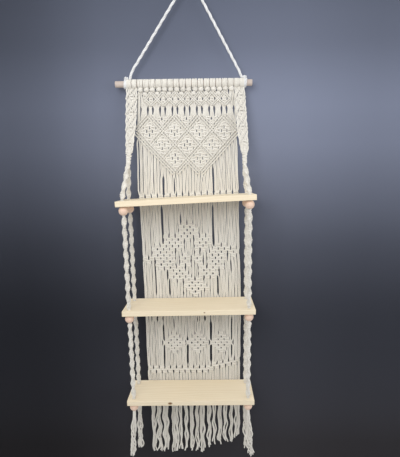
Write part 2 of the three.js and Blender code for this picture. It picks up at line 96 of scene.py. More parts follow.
def to_layout(points):
    """Metres in the frame of the part to millimetres in the layout."""
    return (np.asarray(points, float) - ORIGIN) / MM


def box_of(node):
    """Lowest and highest corners of a solid, in the layout."""
    low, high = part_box(node)
    return to_layout(low), to_layout(high)


def middle_of(node):
    """Middle of a solid's box, in metres."""
    return np.mean(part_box(node), axis=0)


ORIGIN = np.array([middle_of("panel_hitches")[0], *middle_of("dowel")[1:]])

# Camera, measured on the photograph for a picture of 400 by 457
PICTURE_LONG_SIDE = 457
PICTURE_MIDDLE = (200.0, 228.5)
CAMERA_PLACE = (0.0504, -1.3393, -0.5865)
CAMERA_YAW, CAMERA_PITCH, CAMERA_ROLL = -0.53, 12.06, -0.71
CAMERA_FOCAL = 394.55
CAMERA_CENTRE = (205.03, 263.72)
SENSOR = 36.0

# The hanging cord's route up to the hook and down again, in metres, x and z from the hook
CORD_ROUTE = (
    (-0.1925, -0.2735), (-0.1913, -0.2705), (-0.1888, -0.2635), (-0.1821, -0.2480),
    (-0.1658, -0.225), (-0.1448, -0.195), (-0.1239, -0.165), (-0.1029, -0.135),
    (-0.082, -0.105), (-0.061, -0.075), (-0.040, -0.045), (-0.0226, -0.020),
    (-0.00984, -0.00163), (-0.00636, 0.00168), (-0.00188, 0.00335), (0.0029, 0.00314),
    (0.00722, 0.00108), (0.01044, -0.00259), (0.0202, -0.020), (0.0344, -0.045),
    (0.0513, -0.075), (0.0683, -0.105), (0.0853, -0.135), (0.1023, -0.165),
    (0.1193, -0.195), (0.1363, -0.225), (0.1500, -0.2495), (0.1556, -0.2605),
    (0.1594, -0.2690), (0.1608, -0.2725),
)
CORD_STEP = 0.0025
CORD_PLY_LAY = 26.0
CORD_PLY_DEPTH = 0.2
CORD_FULLNESS = 1.04

# The panel: 64 strands between two edges, rows of (drop, x), leaning back down to the top board
STRANDS = 64
LEFT_EDGE = ((24, -153), (153, -161), (346, -166.5), (448, -163), (698, -162), (1010, -163), (1110, -155))
RIGHT_EDGE = ((0, 154), (158, 164), (350, 172), (451, 173), (701, 181), (1011, 180), (1335, 178))
LEAN_DROP = 342.0
PANEL_BACK = to_layout(middle_of("panel_fringe_bottom"))[1]

# Points along a strand, rows of (first drop, last drop, step), closer together where it is knotted
STRAND_STEPS = ((12, 292, 4), (292, 436, 8), (436, 712, 4), (712, 780, 8), (780, 1004, 4))
FRINGE_STEP = 6
FRINGE_ENDS = ((-170, 1333), (40, 1333), (85, 1301), (143, 1299), (174, 1269))
SWAG_ROWS = ((60, 980), (87, 966), (179, 945))
SWAG_STEP = 11.0

# Openings between strands, rows of (x, first drop, last drop, width)
OPENINGS = (
    (-157, 155, 347, 5), (-147, 165, 347, 3), (-112, 207, 357, 2), (-91, 229, 355, 2),
    (-84, 280, 359, 7), (-43, 280, 347, 4), (48, 282, 310, 4), (87, 250, 352, 6),
    (147, 310, 347, 3), (-90, 378, 530, 8), (86, 378, 530, 8), (-25, 405, 454, 4),
    (-120, 539, 705, 4), (-70, 601, 705, 6), (-25, 677, 705, 4), (100, 596, 705, 6),
    (147, 566, 623, 4), (-97, 804, 977, 5), (-59, 777, 831, 3), (-12, 852, 971, 7),
    (24, 777, 807, 4), (74, 792, 962, 8), (150, 777, 941, 5), (-71, 899, 923, 4),
    (22.6, 908, 923, 4), (103, 905, 923, 4), (125.6, 908, 938, 4),
)
OPENING_REACH = 14.0
OPENING_RAMP = 16.0

# Strands in each cluster of the bottom fringe and the gap after it, and where the clusters begin
CLUSTERS = (
    (4, 8), (4, 9), (6, 15), (7, 6), (3, 10), (4, 7), (4, 11), (3, 6), (5, 11), (4, 8), (3, 11), (4, 8),
    (4, 12), (3, 7), (6, 0),
)
CLUSTER_DROP = 1030.0
CLUSTER_REACH = 70.0
FRINGE_DROP = 1200
FRINGE_FALL = 240

# Spans of the reach, wavelength and phases of a cluster's sway and its depth, and of a pair's swing
SWAY_SPANS = ((0.9, 1.9), (70, 110), (0, TURN), (0.6, 1.5), (-1.5, 1.5))
SWING_SPANS = ((1.9, 3.3), (62, 96), (0, TURN))

# How pairs of strands close up, and how the strands wander, as (reach, wavelength)
PAIR_SQUEEZE = 0.035
PAIR_WANDER = 0.05
PAIR_DEPTH = 2.2
WANDER_LONG, WANDER_SHORT, WANDER_DEEP = (0.45, 131), (0.2, 57), (0.7, 91)
FRINGE_WANDER, FRINGE_DEEP = (0.9, 57), (1.6, 61)
WORKED_WANDER = 0.4
FREE_FROM, FREE_REACH = 960, 40

# The knotted star, one row every 11 mm, the columns of the knots in each row
STAR_DROP = 445.0
STAR_STEP = 11.0
STAR_ROWS = (
    (6, 7), (6, 7, 8), (6, 7, 8), (6, 7, 8), (3, 4, 5, 6, 7, 8, 9, 10), (4, 5, 6, 7, 9, 10),
    (3, 4, 5, 8, 9, 10), (2, 3, 4, 5, 6, 9, 10, 12, 13), (1, 2, 3, 4, 5, 8, 9, 11, 12, 13, 14),
    (2, 3, 4, 11, 12, 13, 14, 15), (1, 2, 3, 4, 6, 8, 10, 11, 12, 14),
    (0, 1, 2, 3, 4, 6, 7, 8, 9, 11, 12, 13), (0, 2, 3, 4, 6, 8, 10, 11, 12),
    (2, 3, 4, 6, 7, 9, 11, 12), (2, 3, 4, 5, 9, 10, 11, 12), (4, 5, 6, 9, 10, 11),
    (4, 5, 6, 9, 10, 11), (4, 5, 6, 7, 9, 10, 11), (4, 5, 6, 7, 8), (7, 8, 9), (6, 7, 8, 9),
    (7, 8, 9, 10), (7, 8), (8,),
)

# Heading: its rows of round knots, its small diamonds, and where strands gather below them, as
# (drop, groups of (first strand, strands, squeeze))
HEADING_KNOT_DROP = 18.0
HEADING_JOIN_DROP = 30.5
DIAMOND_MIDDLES = (9, 17, 25, 33, 41, 49, 57)
DIAMOND_DROPS = (25.0, 47.0, 64.0)
DIAMOND_PAIR = 2.7
DIAMOND_PUSH = {2.5: 0.9, 3.5: 0.4}
GATHER_ROWS = (
    (64.0, ((1, 8, 1.0),)), (74.0, ((1, 5, 0.58), (6, 3, 0.5))), (86.0, ((1, 5, 0.74), (6, 3, 0.8))),
    (101.0, ((1, 8, 1.0),)),
)
VALLEYS = (16, 32, 48)
VALLEY_KNOTS = ((104.0, -4), (104.0, 0), (115.0, -2))

# Heart: middles of its cells as (strand, drop), half a cell, and the knots in one as (step, first, wide)
CELLS = (
    (8, 143), (24, 143), (40, 143), (56, 143), (16, 186), (32, 186), (48, 186), (24, 229), (40, 229),
)
CELL_HALF = (8, 43.0)
CELL_KNOTS = (
    (-22, -2, 1.4), (-11, -4, 1.18), (-11, 0, 1.18), (0, -6, 1.34), (0, -2, 1.0), (0, 2, 1.34),
    (11, -4, 1.18), (11, 0, 1.18), (22, -2, 1.4),
)
HEM_DROP = 18.0
HEM_PINCH = 1.75

# Row of knots behind the top board as (drop, slope), and the lower curtain's knots
BOARD_ROW = (349.0, 0.0396)
LOWER_KNOTS = (787.0, (1, 2, 9, 10))
LOWER_DIAMONDS = (880.0, (19, 35, 51), 4, 11.0)

# The side bands, rows of (drop, outer x, inner x)
BAND_EDGES = {
    "left": ((18, -188, -153), (110, -191, -157), (177, -191, -166), (209, -191, -171), (256, -192, -178)),
    "right": ((18, 187, 155), (146, 195, 162), (208, 197, 173), (256, 192, 178)),
}
BAND_STRANDS = 8
BAND_DIAMONDS = ((20, 68), (68, 116), (116, 164), (164, 212))
BAND_LEAN = 52.0 / 256.0
BAND_START, BAND_GATHER, BAND_NECK, BAND_FOOT = 12.0, 205.0, 226.0, 251.0


def smooth(value):
    """Soft step from 0 to 1."""
    value = np.clip(value, 0, 1)
    return value * value * (3 - 2 * value)


def wave(along, length, phase=0.0):
    """A sine of that wavelength."""
    return np.sin(along / length * TURN + phase)


def unit(vectors):
    """Vectors of length one."""
    vectors = np.asarray(vectors, float)
    return vectors / np.linalg.norm(vectors, axis=-1, keepdims=True)


def turned(axis, angle):
    """Rotation matrix about an axis, as an array."""
    return np.array(Matrix.Rotation(angle, 3, Vector(axis)))


def looking_along(direction, facing=(0, 1, 0)):
    """Rotation that takes x to the direction and keeps y close to facing."""
    ahead = unit(direction)
    rise = unit(np.cross(ahead, facing))
    return np.stack([ahead, np.cross(rise, ahead), rise], axis=1)


def quads(rows, columns, ring_of_rows=False, rings=True):
    """Faces between neighbouring rows of points, which may be rings or stand in a ring themselves."""
    i = np.arange(rows if ring_of_rows else rows - 1)[:, None]
    j = np.arange(columns if rings else columns - 1)
    here, there, beside = i * columns, (i + 1) % rows * columns, (j + 1) % columns
    return np.stack([here + j, there + j, there + beside, here + beside], axis=-1).reshape(-1, 4)


# One piece of cord: its points, its faces as corners and sizes, and its twist map
Length = namedtuple("Length", "points corners sizes maps")
CAP_REACH = 0.45
CAP_RADIUS = 0.6


def cord_length(line, radius, sides=6, closed=False, lobes=0, depth=0.0, lay=1.0, across=(0, 1, 0)):
    """A cord that follows a line, closed at its ends or joined into a ring."""
    line = np.asarray(line, float)
    if closed:
        ahead = np.roll(line, -1, 0) - np.roll(line, 1, 0)
        steps = np.linalg.norm(np.roll(line, -1, 0) - line, axis=1)
    else:
        ahead = unit(np.gradient(line, axis=0))
        cap = radius * CAP_REACH
        line = np.vstack([line[0] - ahead[0] * cap, line, line[-1] + ahead[-1] * cap])
        ahead = np.pad(ahead, ((1, 1), (0, 0)), mode="edge")
        steps = np.linalg.norm(np.diff(line, axis=0), axis=1)
    along = np.concatenate([[0], np.cumsum(steps)])
    ahead = unit(ahead)
    side = unit(np.cross(ahead, np.broadcast_to(across, ahead.shape)))
    up = np.cross(side, ahead)
    rings = len(line)
    angle = np.arange(sides) / sides * TURN
    reach = np.full((rings, sides), float(radius))
    if not closed:
        reach[[0, -1]] *= CAP_RADIUS
    if lobes:
        reach *= 1 - depth * np.cos(lobes * angle + TURN * along[:rings, None] / lay)
    ring = np.cos(angle)[None, :, None] * side[:, None, :] + np.sin(angle)[None, :, None] * up[:, None, :]
    points = line[:, None, :] + reach[:, :, None] * ring
    corners = quads(rings, sides, ring_of_rows=closed)
    rows, j = np.arange(len(corners) // sides), np.arange(sides)
    u0, u1, v0, v1 = j / sides, (j + 1) / sides, along[rows], along[rows + 1]
    maps = np.zeros((len(rows), sides, 4, 2))
    maps[..., 0] = np.stack([u0, u0, u1, u1], -1)
    maps[..., 1] = np.stack([v0, v1, v1, v0], -1)[:, None]
    maps, sizes, corners = maps.reshape(-1, 2), np.full(len(corners), 4), corners.reshape(-1)
    if not closed:
        corners = np.concatenate([corners, j, ((rings - 1) * sides + j)[::-1]])
        sizes = np.concatenate([sizes, [sides, sides]])
        far = np.full(sides, along[-1])
        maps = np.vstack([maps, np.stack([u0, 0 * u0], 1), np.stack([u0[::-1], far], 1)])
    return Length(points.reshape(-1, 3), corners, sizes, maps)


def joined(parts):
    """Several lengths as one."""
    offsets = np.cumsum([0] + [len(part.points) for part in parts[:-1]])
    return Length(
        np.vstack([part.points for part in parts]),
        np.concatenate([part.corners + offset for part, offset in zip(parts, offsets)]),
        np.concatenate([part.sizes for part in parts]),
        np.vstack([part.maps for part in parts]),
    )


class Skein:
    """Gathers lengths of cord, in the layout, and makes one mesh of them."""

    def __init__(self, seed):
        self.chance = np.random.default_rng(seed)
        self.points, self.corners, self.sizes, self.maps, self.tints = [], [], [], [], []
        self.count = 0

    def add(self, part, tint=None):
        """Adds one length."""
        self.place(part, np.eye(3)[None], np.zeros((1, 3)), tint)

    def place(self, part, turns, places, tint=None):
        """Adds one copy of a length for each rotation and place."""
        turns, places = np.asarray(turns, float), np.asarray(places, float)
        copies = len(places)
        points = np.einsum("nij,kj->nki", turns, part.points) + places[:, None, :]
        offsets = self.count + np.arange(copies) * len(part.points)
        self.points.append(points.reshape(-1, 3))
        self.corners.append((part.corners[None, :] + offsets[:, None]).reshape(-1))
        self.sizes.append(np.tile(part.sizes, copies))
        shift = self.chance.uniform(0, 1, (copies, 1, 2)) * (1, 10)
        self.maps.append((part.maps[None] + shift).reshape(-1, 2))
        tints = self.chance.uniform(0, 1, copies) if tint is None else np.full(copies, tint)
        self.tints.append(np.repeat(tints, len(part.points)))
        self.count += copies * len(part.points)

    def piece(self, name, body, *nodes, slot="cotton"):
        """One mesh object of everything gathered, on its body and in the place of its solids."""
        points, corners, sizes, maps, tints = (
            np.concatenate(rows) for rows in (self.points, self.corners, self.sizes, self.maps, self.tints)
        )
        maps[:, 1] *= MM
        mesh = bpy.data.meshes.new(name)
        mesh.vertices.add(len(points))
        mesh.vertices.foreach_set("co", to_frame(points).astype(np.float32).ravel())
        mesh.loops.add(len(corners))
        mesh.loops.foreach_set("vertex_index", corners.astype(np.int32))
        mesh.polygons.add(len(sizes))
        starts = np.concatenate([[0], np.cumsum(sizes)[:-1]])
        mesh.polygons.foreach_set("loop_start", starts.astype(np.int32))
        mesh.polygons.foreach_set("use_smooth", np.ones(len(sizes), bool))
        mesh.update(calc_edges=True)
        twist = mesh.uv_layers.new(name="twist")
        twist.data.foreach_set("uv", maps.astype(np.float32).ravel())
        tint = mesh.attributes.new("tint", "FLOAT", "POINT")
        tint.data.foreach_set("value", tints.astype(np.float32))
        return declared(shown(name, mesh, cotton(slot)), slot, body, *nodes)


def wooden_piece(name, points, faces, material, grain, slot, body, node):
    """A wooden piece from points in the layout, with the grain's own coordinates."""
    mesh = bpy.data.meshes.new(name)
    mesh.from_pydata(to_frame(points).tolist(), [], faces)
    mesh.update()
    layer = mesh.attributes.new("grain", "FLOAT_VECTOR", "POINT")
    layer.data.foreach_set("vector", (np.asarray(grain, float) * MM).astype(np.float32).ravel())
    mesh.shade_smooth()
    return declared(shown(name, mesh, material), slot, body, node)


def shown(name, mesh, material):
    """An object of that mesh in the scene, with its material."""
    if name in bpy.data.objects:
        raise RuntimeError(f"{name} is made already")
    if mesh.validate():
        raise RuntimeError(f"{name}: the mesh had faults")
    mesh.materials.append(material)
    piece = bpy.data.objects.new(name, mesh)
    bpy.context.scene.collection.objects.link(piece)
    return piece


def declared(piece, slot, body, *nodes):
    """A piece with its slot, which is not used, the body it rides unless it is bent, and the solids it stands
    for.
    """
    if body:
        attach(piece, body)
    if nodes:
        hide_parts(*nodes)
    return piece


# Materials


def linear(colour):
    """A screen colour, 0 to 255, as the linear colour that a shader takes."""
    value = np.array(colour, float) / 255
    low = value / 12.92
    high = ((value + 0.055) / 1.055) ** 2.4
    return (*np.where(value <= 0.04045, low, high), 1.0)


def add_node(tree, kind, inputs=None, **values):
    """A node with its settings, and its inputs filled in or linked."""
    node = tree.nodes.new(kind)
    for key, value in values.items():
        setattr(node, key, value)
    for key, value in (inputs or {}).items():
        if isinstance(value, bpy.types.NodeSocket):
            tree.links.new(value, node.inputs[key])
        else:
            node.inputs[key].default_value = value
    return node


def arithmetic(tree, operation, *values):
    """Result of a Math node."""
    return add_node(tree, "ShaderNodeMath", dict(enumerate(values)), operation=operation).outputs[0]


def vector_math(tree, operation, *values):
    """Result of a Vector Math node, a number for a length and else a vector."""
    node = add_node(tree, "ShaderNodeVectorMath", dict(enumerate(values)), operation=operation)
    return node.outputs["Value" if operation == "LENGTH" else "Vector"]


def noise(tree, place, scale, detail):
    """Value of a Noise Texture."""
    return add_node(tree, "ShaderNodeTexNoise", {"Vector": place, "Scale": scale, "Detail": detail}).outputs[0]


def ranged(tree, value, low, high, to_low=0.0, to_high=1.0, **settings):
    """Result of a Map Range node."""
    inputs = {0: value, 1: low, 2: high, 3: to_low, 4: to_high}
    return add_node(tree, "ShaderNodeMapRange", inputs, **settings).outputs[0]


def clamped(tree, value):
    """A value kept between 0 and 1."""
    return add_node(tree, "ShaderNodeClamp", {0: value}).outputs[0]


def mixed(tree, share, first, second):
    """Mix of two colours."""
    return add_node(tree, "ShaderNodeMix", {0: share, 6: first, 7: second}, data_type="RGBA").outputs[2]


def new_group(name, inputs, outputs):
    """A shader node group with its inputs' defaults, its outputs' names and its input sockets."""
    tree = bpy.data.node_groups.new(name, "ShaderNodeTree")
    for label, default in inputs.items():
        kind = "NodeSocketVector" if isinstance(default, tuple) else "NodeSocketFloat"
        tree.interface.new_socket(name=label, in_out="INPUT", socket_type=kind).default_value = default
    for label in outputs:
        tree.interface.new_socket(name=label, in_out="OUTPUT", socket_type="NodeSocketFloat")
    return tree, tree.nodes.new("NodeGroupInput").outputs


FIBRES_ACROSS, FIBRES_ALONG, FIBRE_HEIGHT, FIBRE_MIDDLE = 7.0, 90.0, 0.35, 0.62
BLOTCH_SCALE, BLOTCH_SHARE = 0.22, 0.25
STRAND_SHARE = 0.2


def cotton_twist_group():
    """Plies of a twisted cotton cord, with painted shade in the grooves between them, and the fibres in them,
    from the twist map.
    """
    if "Cotton twist" in bpy.data.node_groups:
        return bpy.data.node_groups["Cotton twist"]
    tree, given = new_group(
        "Cotton twist", {"Plies": 3.0, "Lay": 0.009, "Groove": 0.5, "Fluff": 0.2}, ("Shade", "Height"),
    )
    times, plus, minus = (partial(arithmetic, tree, kind) for kind in ("MULTIPLY", "ADD", "SUBTRACT"))
    place = add_node(tree, "ShaderNodeUVMap", uv_map="twist").outputs[0]
    around, along, _up = add_node(tree, "ShaderNodeSeparateXYZ", {0: place}).outputs
    phase = plus(times(around, given["Plies"]), arithmetic(tree, "DIVIDE", along, given["Lay"]))
    ply = arithmetic(tree, "SINE", times(arithmetic(tree, "FRACT", phase), math.pi))
    inputs = {0: times(phase, FIBRES_ACROSS), 1: times(along, FIBRES_ALONG)}
    fibre_place = add_node(tree, "ShaderNodeCombineXYZ", inputs).outputs[0]
    fibre = noise(tree, fibre_place, 1.0, 2.0)
    blotch = times(minus(noise(tree, fibre_place, BLOTCH_SCALE, 1.0), 0.5), BLOTCH_SHARE)
    tint = add_node(tree, "ShaderNodeAttribute", attribute_name="tint").outputs["Fac"]
    strand = times(minus(tint, 1.0), STRAND_SHARE)
    # Painted shade in the grooves between the plies.
    ply_shade = times(minus(1.0, ply), given["Groove"])
    uneven = times(minus(FIBRE_MIDDLE, fibre), given["Fluff"])
    shade = plus(minus(minus(plus(strand, 1.0), ply_shade), uneven), blotch)
    height = plus(ply, times(fibre, FIBRE_HEIGHT))
    add_node(tree, "NodeGroupOutput", {"Shade": clamped(tree, shade), "Height": height})
    return tree


NO_KNOT = (9.0, 9.0, 9.0)
DRIFT_STRETCH = (3.0, 14.0, 14.0)
FIBRE_STRETCH = (14.0, 700.0, 700.0)
KNOT_STRETCH = (0.62, 1.0, 1.0)


def wood_grain_group():
    """Year rings, fibres and one knot of a piece of wood, from the grain's own coordinates."""
    if "Wood grain" in bpy.data.node_groups:
        return bpy.data.node_groups["Wood grain"]
    tree, given = new_group(
        "Wood grain",
        {"Ring width": 0.004, "Pith depth": 0.08, "Waviness": 0.004, "Knot place": NO_KNOT, "Knot size": 0.006},
        ("Rings", "Fibre", "Knot", "Height"),
    )
    times, plus, minus, divided, power = (
        partial(arithmetic, tree, kind) for kind in ("MULTIPLY", "ADD", "SUBTRACT", "DIVIDE", "POWER")
    )
    place = add_node(tree, "ShaderNodeAttribute", attribute_name="grain").outputs["Vector"]
    drift = noise(tree, vector_math(tree, "MULTIPLY", place, DRIFT_STRETCH), 1.0, 2.0)
    _along, across, up = add_node(tree, "ShaderNodeSeparateXYZ", {0: place}).outputs
    square = plus(power(across, 2.0), power(plus(up, given["Pith depth"]), 2.0))
    distance = plus(arithmetic(tree, "SQRT", square), times(minus(drift, 0.5), given["Waviness"]))
    ring = arithmetic(tree, "FRACT", divided(distance, given["Ring width"]))
    fading = times(power(ring, 3.0), plus(drift, 0.35))
    fibre = noise(tree, vector_math(tree, "MULTIPLY", place, FIBRE_STRETCH), 1.0, 3.0)
    away = vector_math(tree, "SUBTRACT", place, given["Knot place"])
    reach = vector_math(tree, "LENGTH", vector_math(tree, "MULTIPLY", away, KNOT_STRETCH))
    share = divided(reach, given["Knot size"])
    add_node(tree, "NodeGroupOutput", {
        "Rings": clamped(tree, fading),
        "Fibre": fibre,
        "Knot": ranged(tree, share, 1.0, 0.35, interpolation_type="SMOOTHSTEP"),
        "Height": minus(fibre, times(fading, 0.6)),
    })
    return tree


def new_material(name, settings):
    """A new material with its shader's uniform values, its tree and its shader."""
    material = bpy.data.materials.new(name)
    material.use_nodes = True
    tree = material.node_tree
    shader = next(node for node in tree.nodes if node.type == "BSDF_PRINCIPLED")
    for label, value in settings.items():
        shader.inputs[label].default_value = value
    return material, tree, shader


def bumped(tree, shader, height, strength, distance):
    """Feeds a height into the shader's normal."""
    bump = add_node(tree, "ShaderNodeBump", {"Strength": strength, "Distance": distance, "Height": height})
    tree.links.new(bump.outputs[0], shader.inputs["Normal"])


def cotton(slot):
    """Twisted cotton of a slot: cotton for panel, bands and ropes, white_cotton for the hanging cord."""
    name = f"{slot}_cord"
    if name in bpy.data.materials:
        return bpy.data.materials[name]
    yarn = bpy.context.scene.shelf_yarn
    colour, groove_shade_colour, lay = {
        "cotton": (yarn.colour, yarn.groove_shade_colour, yarn.lay),
        "white_cotton": (yarn.hanging_colour, yarn.hanging_groove_shade, yarn.hanging_lay),
    }[slot]
    material, tree, shader = new_material(name, {
        "Roughness": 0.88, "Specular IOR Level": 0.25, "Sheen Weight": 0.25, "Sheen Roughness": 0.6,
    })
    values = {"Lay": lay, "Groove": yarn.groove}
    twist = add_node(tree, "ShaderNodeGroup", values, node_tree=cotton_twist_group()).outputs
    # The groove colour is painted shade between the plies.
    shade = mixed(tree, twist["Shade"], (*groove_shade_colour, 1), (*colour, 1))
    tree.links.new(shade, shader.inputs["Base Color"])
    bumped(tree, shader, twist["Height"], 0.6, 0.0006)
    return material


def wood(name, pale, dark, knot_colour, roughness, values):
    """Sanded wood with its own rings and knot."""
    if name in bpy.data.materials:
        return bpy.data.materials[name]
    material, tree, shader = new_material(name, {"Specular IOR Level": 0.35})
    grain = add_node(tree, "ShaderNodeGroup", values, node_tree=wood_grain_group()).outputs
    rings = arithmetic(tree, "MULTIPLY", grain["Rings"], 0.42)
    share = clamped(tree, arithmetic(tree, "ADD", rings, ranged(tree, grain["Fibre"], 0.3, 0.7, 0.0, 0.35)))
    colour = mixed(tree, grain["Knot"], mixed(tree, share, (*pale, 1), (*dark, 1)), linear(knot_colour))
    tree.links.new(colour, shader.inputs["Base Color"])
    rough = ranged(tree, grain["Fibre"], 0.2, 0.8, roughness - 0.08, roughness + 0.1)
    tree.links.new(rough, shader.inputs["Roughness"])
    bumped(tree, shader, grain["Height"], 0.35, 0.0003)
    return material


# For each board the place and size of its knot, in metres from the middle of its top, and its pith
BOARD_GRAIN = {
    "top": ((0.095, 0.02, 0.0), 0.005, 0.062),
    "middle": ((0.0505, -0.073, 0.001), 0.0027, 0.085),
    "bottom": ((-0.069, -0.0725, 0.0), 0.0062, 0.074),
}


def pine(level):
    """Pale pine for one board."""
    timber = bpy.context.scene.shelf_timber
    knot_place, knot_size, pith_depth = BOARD_GRAIN[level]
    return wood(f"pine_{level}", timber.pine_pale, timber.pine_dark, (128, 96, 62), 0.55, {
        "Ring width": timber.ring_width, "Pith depth": pith_depth, "Waviness": 0.02,
        "Knot place": knot_place, "Knot size": knot_size,
    })


def beech(kind, pale, dark, roughness):
    """Closer-grained wood without a knot, for the beads and the dowel."""
    values = {"Ring width": 0.0022, "Pith depth": 0.02}
    return wood(f"beech_{kind}", pale, dark, (150, 100, 80), roughness, values)


# Knots, drawn once and placed many times


def ring_of(half_width, half_depth, thickness, steps=12, sides=6, tilt=0.0):
    """One turn of cord round a bundle, standing across x, with y as its depth."""
    angle = np.arange(steps) / steps * TURN
    line = np.stack([tilt * np.cos(angle), half_depth * np.sin(angle), half_width * np.cos(angle)], 1)
    return cord_length(line, thickness, sides, closed=True, across=(1, 0, 0.001))


def flat_turn(half_width, half_depth, height, tilt, thickness, steps=14, sides=6):
    """One flat turn of cord round upright strands, at a height, rising to one side."""
    angle = np.arange(steps) / steps * TURN
    line = np.stack([half_width * np.cos(angle), -half_depth * np.sin(angle), height + tilt * np.cos(angle)], 1)
    return cord_length(line, thickness, sides, closed=True, across=(0.001, 0, 1))


def square_knot():
    """A square knot round four strands: two crossed turns and the two bights at its sides."""
    parts = [flat_turn(5.3, 3.2, sense * 3.3, sense * 1.3, 2.35) for sense in (1, -1)]
    angle = np.linspace(-1.25, 1.25, 7)
    bulge = np.cos(angle)
    for side in (-1, 1):
        bight = [side * (4.0 + 1.9 * bulge), -1.6 - 0.8 * bulge, 5.6 * np.sin(angle)]
        parts.append(cord_length(np.stack(bight, 1), 1.9))
    return joined(parts)


def round_knot():
    """A fat round knot: two wide turns between two narrow ones."""
    narrow, wide = (4.2, 2.8), (6.4, 4.4)
    return joined([
        flat_turn(*narrow, 4.7, 0.6, 2.2), flat_turn(*wide, 1.7, 0.5, 2.6),
        flat_turn(*wide, -1.7, -0.5, 2.6), flat_turn(*narrow, -4.7, -0.6, 2.2),
    ])


KNOT_SHAPES = {"square": square_knot(), "round": round_knot()}
KNOT_HALF_SPREAD = (4.5, 1.5)

# A ridge of slanted turns round a core, and how far the two of a pair and the hem lie from its line
RIDGE_TURN = ring_of(1.4, 2.7, 1.45, tilt=0.8)
RIDGE_STEP = 2.8
RIDGE_SLANT = 0.38
RIDGE_CORE = 2.2
RIDGE_FRONT = 3.0
RIDGE_PAIR = 3.9
RIDGE_OUTER = 11.4


def add_ridge(skein, ends, scatter=None, tint=None):
    """Lays a ridge between two ends."""
    run = ends[1] - ends[0]
    count = max(2, round(np.linalg.norm(run) / RIDGE_STEP))
    places = ends[0] + (np.arange(count) + 0.5)[:, None] / count * run
    if scatter:
        places += skein.chance.normal(0, scatter, places.shape)
    base = looking_along(run)
    wobbles = skein.chance.normal(0, 0.07, count)
    turns = [base @ turned((0, 1, 0), RIDGE_SLANT + wobble) for wobble in wobbles]
    skein.place(RIDGE_TURN, turns, places, tint)
    skein.add(cord_length(ends, RIDGE_CORE, 8), tint)


# The panel

# A knot over four strands: its drop, its first strand, its scale, how far it stands back, its shape
Knot = namedtuple("Knot", "drop first wide tall back shape", defaults=(1.0, 1.0, 0.0, "square"))


def edge_at(rows, drop):
    """Second value of the rows at a place between their first ones."""
    rows = np.array(rows, float)
    return np.interp(drop, rows[:, 0], rows[:, 1])


def column_at(place, drop):
    """x of a place counted in strands from the panel's left edge."""
    left = edge_at(LEFT_EDGE, drop)
    return left + place / STRANDS * (edge_at(RIGHT_EDGE, drop) - left)


def panel_y(drop):
    """Distance of the panel's middle plane behind the dowel's axis."""
    return PANEL_BACK * np.minimum(1, np.asarray(drop, float) / LEAN_DROP)


def around_corners(corners):
    """Pairs of neighbouring corners, the last with the first."""
    return zip(corners, corners[1:] + corners[:1])


def heading_work():
    """Knots and ridges of the heading: a row of round knots and seven small diamonds."""
    knots = [Knot(HEADING_KNOT_DROP, 4 * column, 1.02, 0.9, -4.8, "round") for column in range(16)]
    for first in [*(middle + 2 for middle in DIAMOND_MIDDLES[:-1]), DIAMOND_MIDDLES[0] - 6]:
        knots.append(Knot(HEADING_JOIN_DROP, first, 0.95, 0.85, -3.0, "round"))
    ridges = []
    top, side, foot = DIAMOND_DROPS
    for middle in DIAMOND_MIDDLES:
        knots.append(Knot(side, middle - 2, 0.9, 1.1))
        for out, offset in product((-4, 4), (-DIAMOND_PAIR, DIAMOND_PAIR)):
            ridges.append(((middle, top), (middle + out, side), offset))
            ridges.append(((middle + out, side), (middle, foot), offset))
    knots += [Knot(drop, valley + step) for valley in VALLEYS for drop, step in VALLEY_KNOTS]
    return knots, ridges


def heart_work():
    """Knots and ridges of the heart: nine cells in a lattice of double ridges, with a hem."""
    knots, edges = [], {}
    half, rise = CELL_HALF
    for middle, drop in CELLS:
        knots += [Knot(drop + step, middle + first, wide, 1.2) for step, first, wide in CELL_KNOTS]
        corners = [(middle, drop - rise), (middle + half, drop), (middle, drop + rise), (middle - half, drop)]
        for pair in around_corners(corners):
            edges.setdefault(tuple(sorted(pair)), []).append(drop)
    ridges = []
    for (first, second), drops in edges.items():
        ridges += [(first, second, -RIDGE_PAIR), (first, second, RIDGE_PAIR)]
        if len(drops) == 1:
            below = (first[1] + second[1]) / 2 > drops[0]
            ridges.append((first, second, RIDGE_OUTER if below else -RIDGE_OUTER))
    drop, slope = BOARD_ROW
    knots += [Knot(drop - slope * column_at(4 * k + 2, drop), 4 * k, 1.14, 1.1) for k in range(16)]
    return knots, ridges


def star_work():
    """Knots of the star, every other row set over by two strands."""
    knots = []
    for row, columns in enumerate(STAR_ROWS):
        shift = 2 if row % 2 == 0 else 0
        knots += [Knot(STAR_DROP + STAR_STEP * row, 4 * column + shift, 1.16, 1.2) for column in columns]
    return knots, []


def diamonds_work():
    """Knots of the three small diamonds of the lower curtain."""
    drop, columns = LOWER_KNOTS
    knots = [Knot(drop, 4 * column) for column in columns]
    drop, middles, widest, step = LOWER_DIAMONDS
    for middle, row in product(middles, range(1 - widest, widest)):
        count = widest - abs(row)
        knots += [Knot(drop + step * row, middle - 2 * count + 4 * k, 1.17, 1.2) for k in range(count)]
    return knots, []


def swag_work():
    """Two rows of knots that rise to the right."""
    knots = []
    for row, firsts in enumerate((range(0, 61, 4), range(2, 59, 4))):
        for first in firsts:
            x = column_at(first + 2, SWAG_ROWS[0][1])
            knots.append(Knot(edge_at(SWAG_ROWS, x) + SWAG_STEP * row, first, 1.14, 1.25))
    return knots, []


# For each piece of knotted work its knots and ridges, and the solid that it stands for
PANEL_WORK = {
    "heading_knots": (*heading_work(), ["panel_heading"]),
    "heart_knots": (*heart_work(), ["panel_heart"]),
    "star_knots": (*star_work(), ["panel_star"]),
    "diamond_knots": (*diamonds_work(), []),
    "swag_knots": (*swag_work(), ["panel_swag"]),
}


